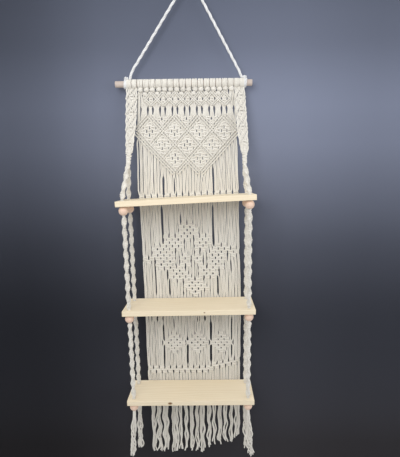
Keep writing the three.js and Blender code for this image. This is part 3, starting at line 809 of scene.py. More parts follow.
def ridge_line(first, second, offset):
    """Ends of a ridge, shifted across its own direction, downwards where positive."""
    ends = np.array([
        [column_at(place, drop), float(panel_y(drop)) - RIDGE_FRONT, -drop] for place, drop in (first, second)
    ])
    ahead = unit(ends[1] - ends[0])
    down = np.array([ahead[2], 0, -ahead[0]])
    return ends + (down if down[2] < 0 else -down) * offset


def strand_pins(strand):
    """Where knots and ridges hold one strand, as (drop, x) with None where it stays in its column."""
    pins = []
    outer, inner = KNOT_HALF_SPREAD
    spread = (-outer, -inner, inner, outer)
    place = strand + 0.5
    for knots, ridges, _nodes in PANEL_WORK.values():
        for knot in knots:
            if knot.first <= strand < knot.first + 4:
                middle = column_at(knot.first + 2, knot.drop)
                pins.append((knot.drop, middle + spread[strand - knot.first] * knot.wide))
        for first, second, offset in ridges:
            (left, left_drop), (right, right_drop) = sorted((first, second))
            if not left <= place <= right:
                continue
            drop = left_drop + (place - left) / (right - left) * (right_drop - left_drop)
            if abs(offset) <= RIDGE_PAIR:
                pins.append((drop + offset, None))
            elif offset > 0:
                pinch = HEM_PINCH if strand % 2 else -HEM_PINCH
                pins.append((drop + HEM_DROP, column_at(strand // 2 * 2 + 1, drop) + pinch))
    for middle in DIAMOND_MIDDLES:
        push = DIAMOND_PUSH.get(abs(place - middle))
        if push:
            drop = DIAMOND_DROPS[1]
            pins.append((drop, column_at(place, drop) + math.copysign(push, place - middle)))
    for middle, (drop, groups) in product([DIAMOND_MIDDLES[0] - 8, *DIAMOND_MIDDLES], GATHER_ROWS):
        for first, count, squeeze in groups:
            if first < place - middle < first + count:
                centre = column_at(middle + first + count / 2, drop)
                pins.append((drop, centre + squeeze * (column_at(place, drop) - centre)))
    return sorted(pins, key=lambda pin: pin[0])


def opening_shift(strand, drops):
    """How far the openings push one strand aside."""
    shift = np.zeros(len(drops))
    for x, first, last, width in OPENINGS:
        left, right = column_at(0, (first + last) / 2), column_at(STRANDS, (first + last) / 2)
        gate = round(float((x - left) / (right - left) * STRANDS))
        away = strand + 0.5 - gate
        reach = abs(away) * (right - left) / STRANDS
        rise = smooth((drops - first) / OPENING_RAMP) * smooth((last - drops) / OPENING_RAMP)
        shift += math.copysign(width / 2, away) * math.exp(-reach / OPENING_REACH) * rise
    return shift


# Over shorter stretches than PIN_BRIDGE a strand runs straight from pin to pin
PIN_REACH = 15.0
PIN_BRIDGE = 26.0


def pinned(natural, drops, pins, column):
    """Moves a strand's line on to its pins."""
    shift = np.zeros(len(drops))
    if not pins:
        return natural + shift
    held = [(drop, (column(drop) if x is None else x) - np.interp(drop, drops, natural)) for drop, x in pins]
    for (start, before), (end, after) in zip(held[:-1], held[1:]):
        inside = (drops >= start) & (drops < end)
        here = drops[inside]
        if end - start <= PIN_BRIDGE:
            shift[inside] = before + (after - before) * ((here - start) / max(end - start, 1e-6))
        else:
            shift[inside] = before * (1 - smooth((here - start) / PIN_REACH))
            shift[inside] += after * (1 - smooth((end - here) / PIN_REACH))
    above, below = drops < held[0][0], drops >= held[-1][0]
    shift[above] = held[0][1] * (1 - smooth((held[0][0] - drops[above]) / PIN_REACH))
    shift[below] = held[-1][1] * (1 - smooth((drops[below] - held[-1][0]) / PIN_REACH))
    return natural + shift


def drawn(chance, spans):
    """One random value from each span."""
    return [chance.uniform(*span) for span in spans]


def cluster_lines(chance):
    """For each strand of the bottom fringe, its cluster's place and sway and its pair's swing."""
    left, right = column_at(0, FRINGE_DROP), column_at(STRANDS, FRINGE_DROP)
    pitch = (right - left - sum(gap for _count, gap in CLUSTERS)) / STRANDS
    x, rows = left, []
    for count, gap in CLUSTERS:
        sway = drawn(chance, SWAY_SPANS)
        rows += [(x + (k + 0.5) * pitch, sway) for k in range(count)]
        x += count * pitch + gap
    pairs = [drawn(chance, SWING_SPANS) for _pair in range(STRANDS // 2)]
    return [(*row, pairs[number // 2]) for number, row in enumerate(rows)]


def strand_line(strand, cluster, chance):
    """The line of one strand from the dowel to the end of the fringe."""
    foot_x = column_at(strand + 0.5, FRINGE_DROP)
    end = edge_at(FRINGE_ENDS, foot_x) + chance.uniform(-22, 4)
    fringe = np.arange(STRAND_STEPS[-1][1], end - FRINGE_STEP / 2, FRINGE_STEP)
    drops = np.concatenate([*(np.arange(*stretch) for stretch in STRAND_STEPS), fringe, [end]])
    phases = chance.uniform(0, TURN, 6)
    lengths = chance.uniform(0.85, 1.2, 3)
    odd = strand % 2
    free = 1 - smooth((drops - FREE_FROM) / FREE_REACH)
    wander = WANDER_LONG[0] * wave(drops, WANDER_LONG[1] * lengths[0], phases[0])
    wander += WANDER_SHORT[0] * wave(drops, WANDER_SHORT[1] * lengths[1], phases[1])
    place = strand + 0.5 + PAIR_SQUEEZE * (-1 if odd else 1) + PAIR_WANDER * math.sin(strand // 2 * 2.3)
    wander *= WORKED_WANDER + (1 - WORKED_WANDER) * free
    natural = column_at(place, drops) + opening_shift(strand, drops) + wander
    x = pinned(natural, drops, strand_pins(strand), partial(column_at, strand + 0.5))
    cluster_x, (reach, length, phase, second, depth), (swing, span, begin) = cluster
    gathered = smooth((drops - CLUSTER_DROP) / CLUSTER_REACH)
    fall = np.clip((drops - CLUSTER_DROP) / FRINGE_FALL, 0, 1.2)
    x += gathered * (cluster_x - foot_x)
    x += fall * reach * (wave(drops, length, phase) + 0.4 * wave(drops, length / 2.3, second))
    x += fall * swing * wave(drops, span, begin)
    own = FRINGE_WANDER[0] * wave(drops, FRINGE_WANDER[1] * lengths[2], phases[2])
    x += fall * (own + chance.uniform(-1.5, 1.5))
    y = panel_y(drops) + WANDER_DEEP[0] * wave(drops, WANDER_DEEP[1], phases[4])
    y += gathered * (depth + (PAIR_DEPTH if odd else -PAIR_DEPTH))
    y += fall * FRINGE_DEEP[0] * wave(drops, FRINGE_DEEP[1] * lengths[2], phases[5])
    return np.stack([x, y, -drops], 1)


def make_work(name, seed):
    """One piece of the panel's knotted work."""
    knots, ridges, nodes = PANEL_WORK[name]
    skein = Skein(seed)
    for shape, length in KNOT_SHAPES.items():
        chosen = [knot for knot in knots if knot.shape == shape]
        if not chosen:
            continue
        places = np.array([
            (column_at(knot.first + 2, knot.drop), panel_y(knot.drop), -knot.drop) for knot in chosen
        ])
        places += skein.chance.normal(0, (0.5, 0.3, 0.5), places.shape)
        places[:, 1] += [knot.back for knot in chosen]
        turns = [
            turned((0, 1, 0), angle) @ np.diag([knot.wide, 1.0, knot.tall])
            for knot, angle in zip(chosen, skein.chance.normal(0, 0.06, len(chosen)))
        ]
        skein.place(length, turns, places)
    for ridge in ridges:
        add_ridge(skein, ridge_line(*ridge), scatter=0.15, tint=1.0)
    return skein.piece(name, "hanger", *nodes)


def make_panel():
    """The panel's strands as one sheet, and the pieces of knotted work on it."""
    works = [make_work(name, seed) for seed, name in enumerate(PANEL_WORK, SEEDS["works"])]
    radius = bpy.context.scene.shelf_yarn.strand / 2 / MM
    skein = Skein(SEEDS["strands"])
    for strand, cluster in enumerate(cluster_lines(skein.chance)):
        skein.add(cord_length(strand_line(strand, cluster, skein.chance), radius))
    panel = skein.piece(
        "panel_strands", "hanger",
        "panel_fringe_upper", "panel_curtain_middle", "panel_curtain_lower", "panel_fringe_bottom",
    )


# Hitches on the dowel

HITCH_RADIUS = 11.9
HITCH_CORD = 2.45
HITCH_SQUEEZE = 0.87

# The bight of a pair, below the dowel's front: its cord, angle, distance, bow and reach to either side
BIGHT_CORD = 2.5
BIGHT_ANGLE = -125
BIGHT_RADIUS = 13.2
BIGHT_BOW, BIGHT_SAG = 1.1, 0.8
BIGHT_REACH = 1.6


def make_hitches():
    """Lark's-head knots of the panel and of the two bands, round the dowel."""
    wrap = ring_of(HITCH_RADIUS, HITCH_RADIUS, HITCH_CORD, 26, 8, tilt=0.5)
    jobs = [("panel_hitch_loops", "panel_hitches", "hanger", STRANDS)]
    jobs += [(f"band_hitch_loops_{side}", f"band_hitches_{side}", "bands", BAND_STRANDS) for side in SIDES]
    for seed, (name, node, body, strands) in enumerate(jobs, SEEDS["hitches"]):
        skein = Skein(seed)
        low, high = box_of(node)
        pitch = (high[0] - low[0]) / strands
        number = np.arange(strands)
        centre = low[0] + (number // 4 * 4 + 2) * pitch
        x = centre + (low[0] + (number + 0.5) * pitch - centre) * HITCH_SQUEEZE
        angles, leans = skein.chance.uniform(0, TURN, strands), skein.chance.normal(0, 0.02, strands)
        turns = [turned((1, 0, 0), angle) @ turned((0, 0, 1), lean) for angle, lean in zip(angles, leans)]
        skein.place(wrap, turns, np.stack([x, 0 * x, 0 * x], 1))
        share = np.linspace(0, 1, 7)
        bow = np.sin(share * math.pi)
        reach = BIGHT_RADIUS + BIGHT_BOW * bow
        for left, right in zip(x[::2] - BIGHT_REACH, x[1::2] + BIGHT_REACH):
            angle = math.radians(BIGHT_ANGLE) + skein.chance.normal(0, 0.05)
            across = left + (right - left) * share
            line = [across, -reach * math.cos(angle), reach * math.sin(angle) - BIGHT_SAG * bow]
            skein.add(cord_length(np.stack(line, 1), BIGHT_CORD, 8, across=(0, 0, 1)))
        skein.piece(name, body, node)


# Side bands

BAND_CORD, BAND_EDGE_CORD = 2.05, 2.35
BAND_WAVE = 24
BAND_RIDGE_FRONT = 0.8
BAND_KNOT_STEP = 5.0
NECK_RADIUS = 4.6

# The turns round the neck, half widths and half depths of the first and the last
WRAP_START, WRAP_STEP, WRAP_REACH = 208.0, 4.3, 24
WRAP_WIDTHS, WRAP_DEPTHS = (10.0, 6.0), (3.6, 5.6)


def band_point(side, place, drop):
    """A point in a side band's leaning middle plane, its place counted in strands from the left."""
    rows = np.array(BAND_EDGES[side], float)
    left, right = sorted(np.interp(drop, rows[:, 0], rows[:, k]) for k in (1, 2))
    return np.array([left + place / BAND_STRANDS * (right - left), -BAND_LEAN * drop, -drop])


def make_bands():
    """The two knotted nets that narrow to a neck."""
    drops = np.arange(BAND_START, BAND_FOOT + 1, 3.0)
    closing = smooth((drops - BAND_GATHER) / (BAND_NECK - BAND_GATHER))
    for seed, side in enumerate(SIDES, SEEDS["bands"]):
        skein = Skein(seed)
        neck_x = band_point(side, BAND_STRANDS / 2, BAND_FOOT)[0]
        for strand in range(BAND_STRANDS):
            angle = (strand + 0.5) / BAND_STRANDS * TURN
            x = np.array([band_point(side, strand + 0.5, drop)[0] for drop in drops])
            x += 0.8 * wave(drops, BAND_WAVE, strand * 1.7) * (1 - closing)
            x = x * (1 - closing) + (neck_x + NECK_RADIUS * math.cos(angle)) * closing
            y = -BAND_LEAN * drops + NECK_RADIUS * math.sin(angle) * closing
            y += 0.6 * wave(drops, BAND_WAVE, strand * 2.9) * (1 - closing)
            thick = BAND_EDGE_CORD if strand in (0, BAND_STRANDS - 1) else BAND_CORD
            skein.add(cord_length(np.stack([x, y, -drops], 1), thick, 7))
        for top, low in BAND_DIAMONDS:
            centre = (top + low) / 2
            for pair in around_corners([(4, top), (8, centre), (4, low), (0, centre)]):
                front = (0, BAND_RIDGE_FRONT, 0)
                add_ridge(skein, np.array([band_point(side, *corner) - front for corner in pair]))
            middle = band_point(side, 4, centre)
            knots = [middle + (0, 0, BAND_KNOT_STEP), middle - (0, 0, BAND_KNOT_STEP)]
            skein.place(KNOT_SHAPES["square"], [turned((1, 0, 0), 0.2)] * 2, knots)
        for drop in np.arange(WRAP_START, BAND_FOOT - 2, WRAP_STEP):
            part = smooth((drop - WRAP_START) / WRAP_REACH)
            half_width, half_depth = (
                first * (1 - part) + last * part for first, last in (WRAP_WIDTHS, WRAP_DEPTHS)
            )
            spin = turned((0, 0, 1), 0.5 * (drop - WRAP_START) * part)
            turn = flat_turn(half_width, half_depth, 0, 1.6, 2.1, 16, 7)
            lean = turned((1, 0, 0), math.atan(BAND_LEAN))
            skein.place(turn, [lean @ spin], [band_point(side, 4, drop)])
        skein.piece(f"band_net_{side}", "bands", f"side_band_{side}")


# Spiral ropes, the bundles through boards and beads, and the tassels

SENNIT_STEP = 4.5
SENNIT_TURN = math.radians(23.1)
SENNIT_TAPER = 11


def axis_ends(node):
    """Top and foot of a leaning rope, from the line through its solid."""
    points = to_layout(np.array([vertex.co for vertex in frame["nodes"][node].data.vertices]))
    z = points[:, 2]
    fits = [np.polyfit(z, points[:, k], 1) for k in (0, 1)]
    return np.array([[*(np.polyval(fit, height) for fit in fits), height] for height in (z.max(), z.min())])


def make_ropes():
    """The twelve spiral ropes, each laid from top to foot along the line through its solid, riding no body."""
    yarn = bpy.context.scene.shelf_yarn
    for seed, (level, side, row) in enumerate(ROPES, SEEDS["ropes"]):
        node = f"rope_{level}_{side}_{row}"
        top, foot = axis_ends(node)
        length = np.linalg.norm(foot - top)
        down = (foot - top) / length
        base = looking_along(-down) @ turned((0, 1, 0), -math.pi / 2)
        count = round(length / SENNIT_STEP)
        skein = Skein(seed)
        begin = skein.chance.uniform(0, TURN)
        sense = 1 if side == "left" else -1
        for k in range(count):
            share = (k + 0.5) / count
            swell = 0.66 + 0.34 * float(smooth(min(share, 1 - share) * length / SENNIT_TAPER))
            swell *= 1 + 0.05 * math.sin(k * 1.9 + begin)
            half_width, half_depth = (size / 2 / MM * swell for size in (yarn.sennit_width, yarn.sennit_depth))
            turn = flat_turn(half_width, half_depth, 0, 2.0, 2.1, 16)
            spin = base @ turned((0, 0, 1), sense * (begin + k * SENNIT_TURN))
            skein.place(turn, [spin], [top + down * length * share])
        core = top + np.linspace(0.01, 0.99, 12)[:, None] * (foot - top)
        skein.add(cord_length(core, 3.5, 8))
        piece = skein.piece(f"sennit_{level}_{side}_{row}", None, node)
        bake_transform(piece)


def board_face(level):
    """Middle of a board's top face, and its rotation, x along it and z out of its top face."""
    mount = next(m for m in frame["record"]["mounts"] if m["name"] == f"{level}_board_top")
    normal = unit(mount["axis"])
    return to_layout(mount["pos_m"]), np.stack([np.cross((0, 1, 0), normal), (0, 1, 0), normal], axis=1)


def make_bundles():
    """Six strands round a seventh, where each rope goes through its board and its bead."""
    share = np.linspace(-1, 1, 15)
    for seed, (level, side, row) in enumerate(ROPES, SEEDS["bundles"]):
        node = f"cord_bundle_{level}_{side}_{row}"
        low, high = box_of(node)
        half = (high[2] - low[2]) / 2 - 0.4
        normal = board_face(level)[1][:, 2]
        skein = Skein(seed)
        for strand in range(7):
            reach = 0.0 if strand == 6 else 3.75
            angle = strand / 6 * TURN + share * 1.4
            line = (low + high) / 2 + share[:, None] * half * normal
            line[:, 0] += reach * np.cos(angle)
            line[:, 1] += reach * np.sin(angle)
            skein.add(cord_length(line, 1.9, 7))
        skein.piece(f"bundle_strands_{level}_{side}_{row}", f"shelf_{level}", node)


# How far the tip of each tassel drifts from its start, as (x, y)
TASSEL_ENDS = {
    ("left", "front"): (-15, 6), ("left", "back"): (-4, -3),
    ("right", "front"): (15, 3), ("right", "back"): (6, -3),
}
TASSEL_STRANDS = 8
TASSEL_REACH = 3.4
TASSEL_APART = 5.0
# Lengths in which the bundles go round each other and the strands round their bundle, and their waves
TASSEL_LAY, TASSEL_OWN_LAY = 165, 130
TASSEL_WAVES = ((2.4, 52), (2.0, 58))


def make_tassels():
    """The loose ends of the ropes below the lowest beads, two loosely twisted bundles each."""
    for seed, ((side, row), (drift, spread)) in enumerate(TASSEL_ENDS.items(), SEEDS["tassels"]):
        node = f"tassel_{side}_{row}"
        low, high = box_of(node)
        length = high[2] - low[2]
        start = to_layout(middle_of(f"cord_bundle_bottom_{side}_{row}"))
        start[2] = high[2] + 1.5
        skein = Skein(seed)
        chance = skein.chance
        for strand in range(TASSEL_STRANDS):
            bundle = strand % 2
            along = np.arange(0, length * chance.uniform(0.93, 1.0), 5.0)
            share = along / length
            sway = chance.uniform(0.85, 1.15)
            about = along / TASSEL_LAY * TURN + bundle * math.pi + seed + 1
            apart = smooth(share * 2.5) * TASSEL_APART
            own = (strand // 2 / 4 + bundle / 8 + along / TASSEL_OWN_LAY) * TURN
            x = start[0] + drift * share + apart * np.cos(about)
            x += (TASSEL_REACH + smooth(share * 1.6) * 0.6) * np.cos(own)
            y = start[1] + spread * share + apart * 0.6 * np.sin(about)
            y += TASSEL_REACH * np.sin(own) * (1 - 0.3 * share)
            for line, (reach, span) in zip((x, y), TASSEL_WAVES):
                line += smooth(share * 1.5) * reach * wave(along, span * sway, chance.uniform(0, TURN))
            skein.add(cord_length(np.stack([x, y, start[2] - along], 1), 2.0, 7))
        skein.piece(f"tassel_strands_{side}_{row}", "shelf_bottom", node)


# Wood

DOWEL_EASE = 1.4
DOWEL_STEPS = 48


def make_dowel():
    """The wooden rod, with eased ends and hardly seen bends."""
    low, high = box_of("dowel")
    radius, length = (high[1] - low[1]) / 2, high[0] - low[0]
    angle = np.linspace(0, math.pi / 2, 4)
    start = [(radius - DOWEL_EASE * (1 - math.sin(a)), DOWEL_EASE * (1 - math.cos(a))) for a in angle]
    body = [(radius, z) for z in np.linspace(DOWEL_EASE, length - DOWEL_EASE, 40)[1:-1]]
    reach, along = np.array(start + body + [(r, length - z) for r, z in start[::-1]]).T
    reach = reach * (1 + 0.004 * np.sin(along / 47))
    around = np.arange(DOWEL_STEPS) / DOWEL_STEPS * TURN
    x = np.repeat(along[:, None] + low[0], DOWEL_STEPS, 1)
    points = np.stack([x, np.outer(reach, np.cos(around)), np.outer(reach, np.sin(around))], -1).reshape(-1, 3)
    faces = quads(len(along), DOWEL_STEPS)[:, ::-1].tolist()
    faces += [list(range(DOWEL_STEPS))[::-1], list(range(len(points) - DOWEL_STEPS, len(points)))]
    timber = bpy.context.scene.shelf_timber
    # The dowel's colours are darker than the beads' beech: partly its own tone, partly painted shade, as the
    # dowel takes more lamp light.
    material = beech("dowel", timber.dowel_pale_with_shade, timber.dowel_rings_with_shade, 0.5)
    wooden_piece("dowel_rod", points, faces, material, points + (0, 2, 4), "beech", "hanger", "dowel")


BEAD_BORE = 6.1
BEAD_RIM = 6.7
BEAD_STEPS = 48


def make_beads():
    """Twelve turned beads that carry the boards."""
    timber = bpy.context.scene.shelf_timber
    material = beech("turned", timber.beech_pale, timber.beech_dark, 0.42)
    around = np.arange(BEAD_STEPS)[:, None] / BEAD_STEPS * TURN
    for number, (level, side, row) in enumerate(ROPES):
        node = f"bead_{level}_{side}_{row}"
        low, high = box_of(node)
        radius = (high[1] - low[1]) / 2
        tallest = math.sqrt(radius ** 2 - BEAD_RIM ** 2)
        lean = math.asin(tallest / radius)
        rim = tallest - 0.7
        profile = [(radius * math.cos(a), radius * math.sin(a)) for a in np.linspace(-lean, lean, 27)]
        profile += [(BEAD_RIM - 0.4, tallest - 0.15), (BEAD_BORE, rim)]
        profile += [(BEAD_BORE, z) for z in np.linspace(rim, -rim, 5)[1:-1]]
        profile += [(BEAD_BORE, -rim), (BEAD_RIM - 0.4, 0.15 - tallest)]
        reach, height = np.array(profile).T
        x, y = reach * np.cos(around), reach * np.sin(around)
        points = np.stack([x, y, np.broadcast_to(height, x.shape)], -1).reshape(-1, 3)
        grain = points[:, [2, 0, 1]] + (number * 37.0, number * 3.0, number * 5.0)
        wooden_piece(
            f"bead_turned_{level}_{side}_{row}", points @ board_face(level)[1].T + (low + high) / 2,
            quads(BEAD_STEPS, len(profile), ring_of_rows=True).tolist(), material, grain,
            "beech", f"shelf_{level}", node,
        )


BOARD_CORNER = 2.0
HOLE_RADIUS = 6.15
HOLE_STEPS = 28
# Section of an eased edge, as (inset, depth) in shares of its radius
EASED = ((1.0, 0.0), (1 - math.sin(math.pi / 4), 1 - math.cos(math.pi / 4)), (0.0, 1.0))


def rounded_outline(half_x, half_y, radius, steps=4):
    """Outline of a board with slightly rounded upright corners."""
    outline = []
    for quarter, (sign_x, sign_y) in enumerate(((1, 1), (-1, 1), (-1, -1), (1, -1))):
        for angle in (quarter * math.pi / 2 + a for a in np.linspace(0, math.pi / 2, steps)):
            x = sign_x * (half_x - radius) + radius * math.cos(angle)
            y = sign_y * (half_y - radius) + radius * math.sin(angle)
            outline.append((x, y))
    return np.array(outline)


def board_mesh(contours, ease, thick):
    """Points and faces of a board from its outline and its holes, its top at height 0."""
    points, faces, rims = [], [], ([], [])
    for number, outline in enumerate(contours):
        ahead = unit(np.roll(outline, -1, 0) - np.roll(outline, 1, 0))
        inward = np.stack([-ahead[:, 1], ahead[:, 0]], 1)
        own = ease * (0.5 if number else 1.0)
        rings = [(inset * own, -depth * own) for inset, depth in EASED]
        rings += [(inset * own, depth * own - thick) for inset, depth in EASED[::-1]]
        base, count = len(points), len(outline)
        for inset, z in rings:
            points += [(x, y, z) for x, y in outline + inward * inset]
        faces += (base + quads(len(rings), count)).tolist()
        rims[0].append(range(base, base + count))
        rims[1].append(range(len(points) - count, len(points)))
    points = np.array(points)
    for loops, upward in zip(rims, (True, False)):
        order = [index for loop in loops for index in loop]
        for triangle in tessellate_polygon([[Vector(points[index]) for index in loop] for loop in loops]):
            a, b, c = (order[index] for index in triangle)
            area = np.cross(points[b][:2] - points[a][:2], points[c][:2] - points[a][:2])
            faces.append((a, b, c) if (area > 0) == upward else (a, c, b))
    return points, faces


def make_boards():
    """Three pine boards with eased edges and four rope holes each."""
    ease = bpy.context.scene.shelf_timber.eased_edge / MM
    low, high = box_of("board_bottom")
    half_x, half_y, thick = (high - low) / (2, 2, 1)
    angle = -np.arange(HOLE_STEPS) / HOLE_STEPS * TURN
    hole = HOLE_RADIUS * np.stack([np.cos(angle), np.sin(angle)], 1)
    for level in LEVELS:
        top, rotation = board_face(level)
        contours = [rounded_outline(half_x, half_y, BOARD_CORNER)]
        for side, row in product(SIDES, ROWS):
            centre = (to_layout(middle_of(f"bead_{level}_{side}_{row}")) - top) @ rotation
            contours.append(centre[:2] + hole)
        points, faces = board_mesh(contours, ease, thick)
        piece = wooden_piece(
            f"board_slab_{level}", points @ rotation.T + top, faces, pine(level), points + (0, 0, thick / 2),
            "pine", f"shelf_{level}", f"board_{level}",
        )
        sharpen(piece)


def sharpen(piece):
    """Keeps flat faces flat beside the eased edges."""
    mesh = piece.data
    flat = [abs(max(polygon.normal, key=abs)) > 0.9995 and polygon.area > 1e-4 for polygon in mesh.polygons]
    mesh.polygons.foreach_set("use_smooth", [not value for value in flat])


# The hanging cord and its knots


def cord_route():
    """The hanging cord's line, a soft curve through its route, in metres from the hook."""
    points = np.array([(x, 0.0, z) for x, z in CORD_ROUTE])
    ends = np.vstack([2 * points[0] - points[1], points, 2 * points[-1] - points[-2]])
    line = [points[0]]
    for a, b, c, d in zip(ends, ends[1:], ends[2:], ends[3:]):
        gap = [max(np.linalg.norm(q - p), 1e-9) ** 0.5 for p, q in ((a, b), (b, c), (c, d))]
        start = (b - a) / gap[0] - (c - a) / (gap[0] + gap[1]) + (c - b) / gap[1]
        end = (c - b) / gap[1] - (d - b) / (gap[1] + gap[2]) + (d - c) / gap[2]
        start, end = start * gap[1], end * gap[1]
        for t in np.linspace(0, 1, max(2, round(np.linalg.norm(c - b) / CORD_STEP)) + 1)[1:]:
            line.append(b * (2 * t ** 3 - 3 * t ** 2 + 1) + start * (t ** 3 - 2 * t ** 2 + t)
                        + c * (3 * t ** 2 - 2 * t ** 3) + end * (t ** 3 - t ** 2))
    return np.array(line)


def make_hanging_cord():
    """The twisted white cord from one end of the dowel over the hook to the other."""
    yarn = bpy.context.scene.shelf_yarn
    line = cord_route()
    radius = yarn.hanging_cord / 2 / MM * CORD_FULLNESS
    skein = Skein(SEEDS["hanging_cord"])
    skein.add(cord_length(to_layout(line), radius, 18, lobes=3, depth=CORD_PLY_DEPTH, lay=CORD_PLY_LAY))
    skein.maps[0] -= skein.maps[0].min(axis=0)
    piece = skein.piece("hanging_cord_twist", "hanger", "hanging_cord", slot="white_cotton")


def make_cord_knots():
    """The hanging cord tied round both ends of the dowel: two turns, a tangle on top and a short tail."""
    turn = ring_of(11.7, 11.7, 2.5, 30, 8, tilt=1.4)
    angle = np.linspace(0, 2 * TURN, 46)[:-1]
    tangle = np.stack([
        3.1 * np.sin(angle / 2) + 2.2 * np.sin(angle),
        3.0 * np.cos(angle / 2) - 2.0 * np.cos(angle),
        2.6 * np.sin(1.5 * angle),
    ], 1)
    share = np.linspace(0, 1, 9)[:, None]
    for seed, (side, outward) in enumerate(zip(SIDES, (-1, 1)), SEEDS["cord_ties"]):
        node = f"cord_knot_{side}"
        middle_x = to_layout(middle_of(node))[0]
        skein = Skein(seed)
        spins = [turned((0, 0, 1), 0.03), turned((0, 0, 1), -0.05)]
        skein.place(turn, spins, [[middle_x - 2.5, 0, 0], [middle_x + 2.5, 0, 0]])
        knot = np.array([middle_x - outward * 2.0, -1.5, 16.6])
        skein.add(cord_length(knot + tangle, 2.3, 8, closed=True, across=(0.3, 0.2, 1)))
        skein.add(cord_length(knot + (0.0, 1.0, 0.0) + share * (outward * 4.5, -2.5, 2.0), 2.2, 8))
        skein.piece(f"cord_tie_{side}", "hanger", node, slot="white_cotton")


# Camera, lamps, wall and floor


def make_camera():
    """The camera at the photograph's place and angle."""
    yaw, pitch, roll = (math.radians(value) for value in (CAMERA_YAW, CAMERA_PITCH, CAMERA_ROLL))
    ahead = np.array([math.sin(yaw) * math.cos(pitch), math.cos(yaw) * math.cos(pitch), -math.sin(pitch)])
    right = np.array([math.cos(yaw), -math.sin(yaw), 0.0])
    up = np.cross(right, ahead)
    right, up = math.cos(roll) * right + math.sin(roll) * up, math.cos(roll) * up - math.sin(roll) * right
    turn = np.eye(4)
    turn[:3] = np.stack([right, up, -ahead, CAMERA_PLACE], 1)
    data = bpy.data.cameras.new("camera")
    data.sensor_fit = "AUTO"
    data.sensor_width = SENSOR
    data.lens = CAMERA_FOCAL * SENSOR / PICTURE_LONG_SIDE
    data.shift_x = (PICTURE_MIDDLE[0] - CAMERA_CENTRE[0]) / PICTURE_LONG_SIDE
    data.shift_y = (CAMERA_CENTRE[1] - PICTURE_MIDDLE[1]) / PICTURE_LONG_SIDE
    data.clip_start = 0.02
    camera = bpy.data.objects.new("camera", data)
    camera.matrix_world = Matrix(turn.tolist())
    bpy.context.scene.collection.objects.link(camera)
    bpy.context.scene.camera = camera


# For each lamp its place, what it is aimed at, its size and its colour
LAMPS = {
    "key": ((-0.4, -1.4, 0.0), (0.0, 0.0, -0.15), 0.9, (1.0, 0.992, 0.98)),
    "fill": ((1.5, -1.3, -0.2), (0.0, 0.0, -0.55), 1.3, (0.97, 0.985, 1.0)),
    "back": ((0.6, 1.9, 0.1), (0.0, 0.0, -0.8), 1.6, (1.0, 0.995, 0.985)),
}

# The wall's height over the hook, the heights over which its colour goes from painted shade below to lit slate
# above, and its painted light across and up, as (metres, level)
WALL_TOP = 0.9
WALL_PAINTED_SHADE_SPAN = (-1.6, 0.1)
WALL_PAINTED_LIGHT_ACROSS = ((-0.6, 0.48), (-0.44, 0.62), (-0.3, 0.82), (0.0, 0.98), (0.24, 1.12), (0.4, 1.08), (0.6, 0.96))
WALL_PAINTED_LIGHT_UP = (
    (-1.6, 1.4), (-1.4, 1.1), (-1.15, 0.72), (-0.95, 0.78), (-0.76, 1.16), (-0.54, 1.78), (-0.36, 1.94),
    (-0.2, 1.34), (-0.07, 1.0), (0.1, 0.86),
)
STAGE_HALF = 6.0


def make_lamps(studio):
    """Three soft square lamps."""
    for name, (place, aim, size, colour) in LAMPS.items():
        data = bpy.data.lights.new(f"{name}_lamp", "AREA")
        data.size = size
        data.energy = getattr(studio, name)
        data.color = colour
        lamp = bpy.data.objects.new(data.name, data)
        lamp.location = place
        lamp.rotation_euler = (Vector(aim) - Vector(place)).to_track_quat("-Z", "Y").to_euler()
        bpy.context.scene.collection.objects.link(lamp)


def level_curve(tree, place, stops):
    """A smooth curve of the wall's painted brightness through stops along one axis."""
    low, high = stops[0][0], stops[-1][0]
    top = max(level for _place, level in stops)
    curve = add_node(tree, "ShaderNodeValToRGB", {0: ranged(tree, place, low, high)})
    curve.color_ramp.interpolation = "CARDINAL"
    marks = curve.color_ramp.elements
    while len(marks) < len(stops):
        marks.new(1.0)
    for mark, (at, level) in zip(marks, stops):
        mark.position = (at - low) / (high - low)
        mark.color = (level / top, level / top, level / top, 1)
    return arithmetic(tree, "MULTIPLY", curve.outputs[0], top)


def stage_sheet(name, material, corner, side, rows, columns):
    """A flat grid of the stage, from its lower left corner to a point up or back along its left side."""
    across = np.linspace(0, 2 * STAGE_HALF, columns + 1)[None, :, None] * (1, 0, 0)
    up = np.linspace(0, 1, rows + 1)[:, None, None] * np.subtract(side, corner)
    points = (np.array(corner) + across + up).reshape(-1, 3)
    mesh = bpy.data.meshes.new(name)
    mesh.from_pydata(points.tolist(), [], quads(rows + 1, columns + 1, rings=False)[:, ::-1].tolist())
    shown(name, mesh, material)


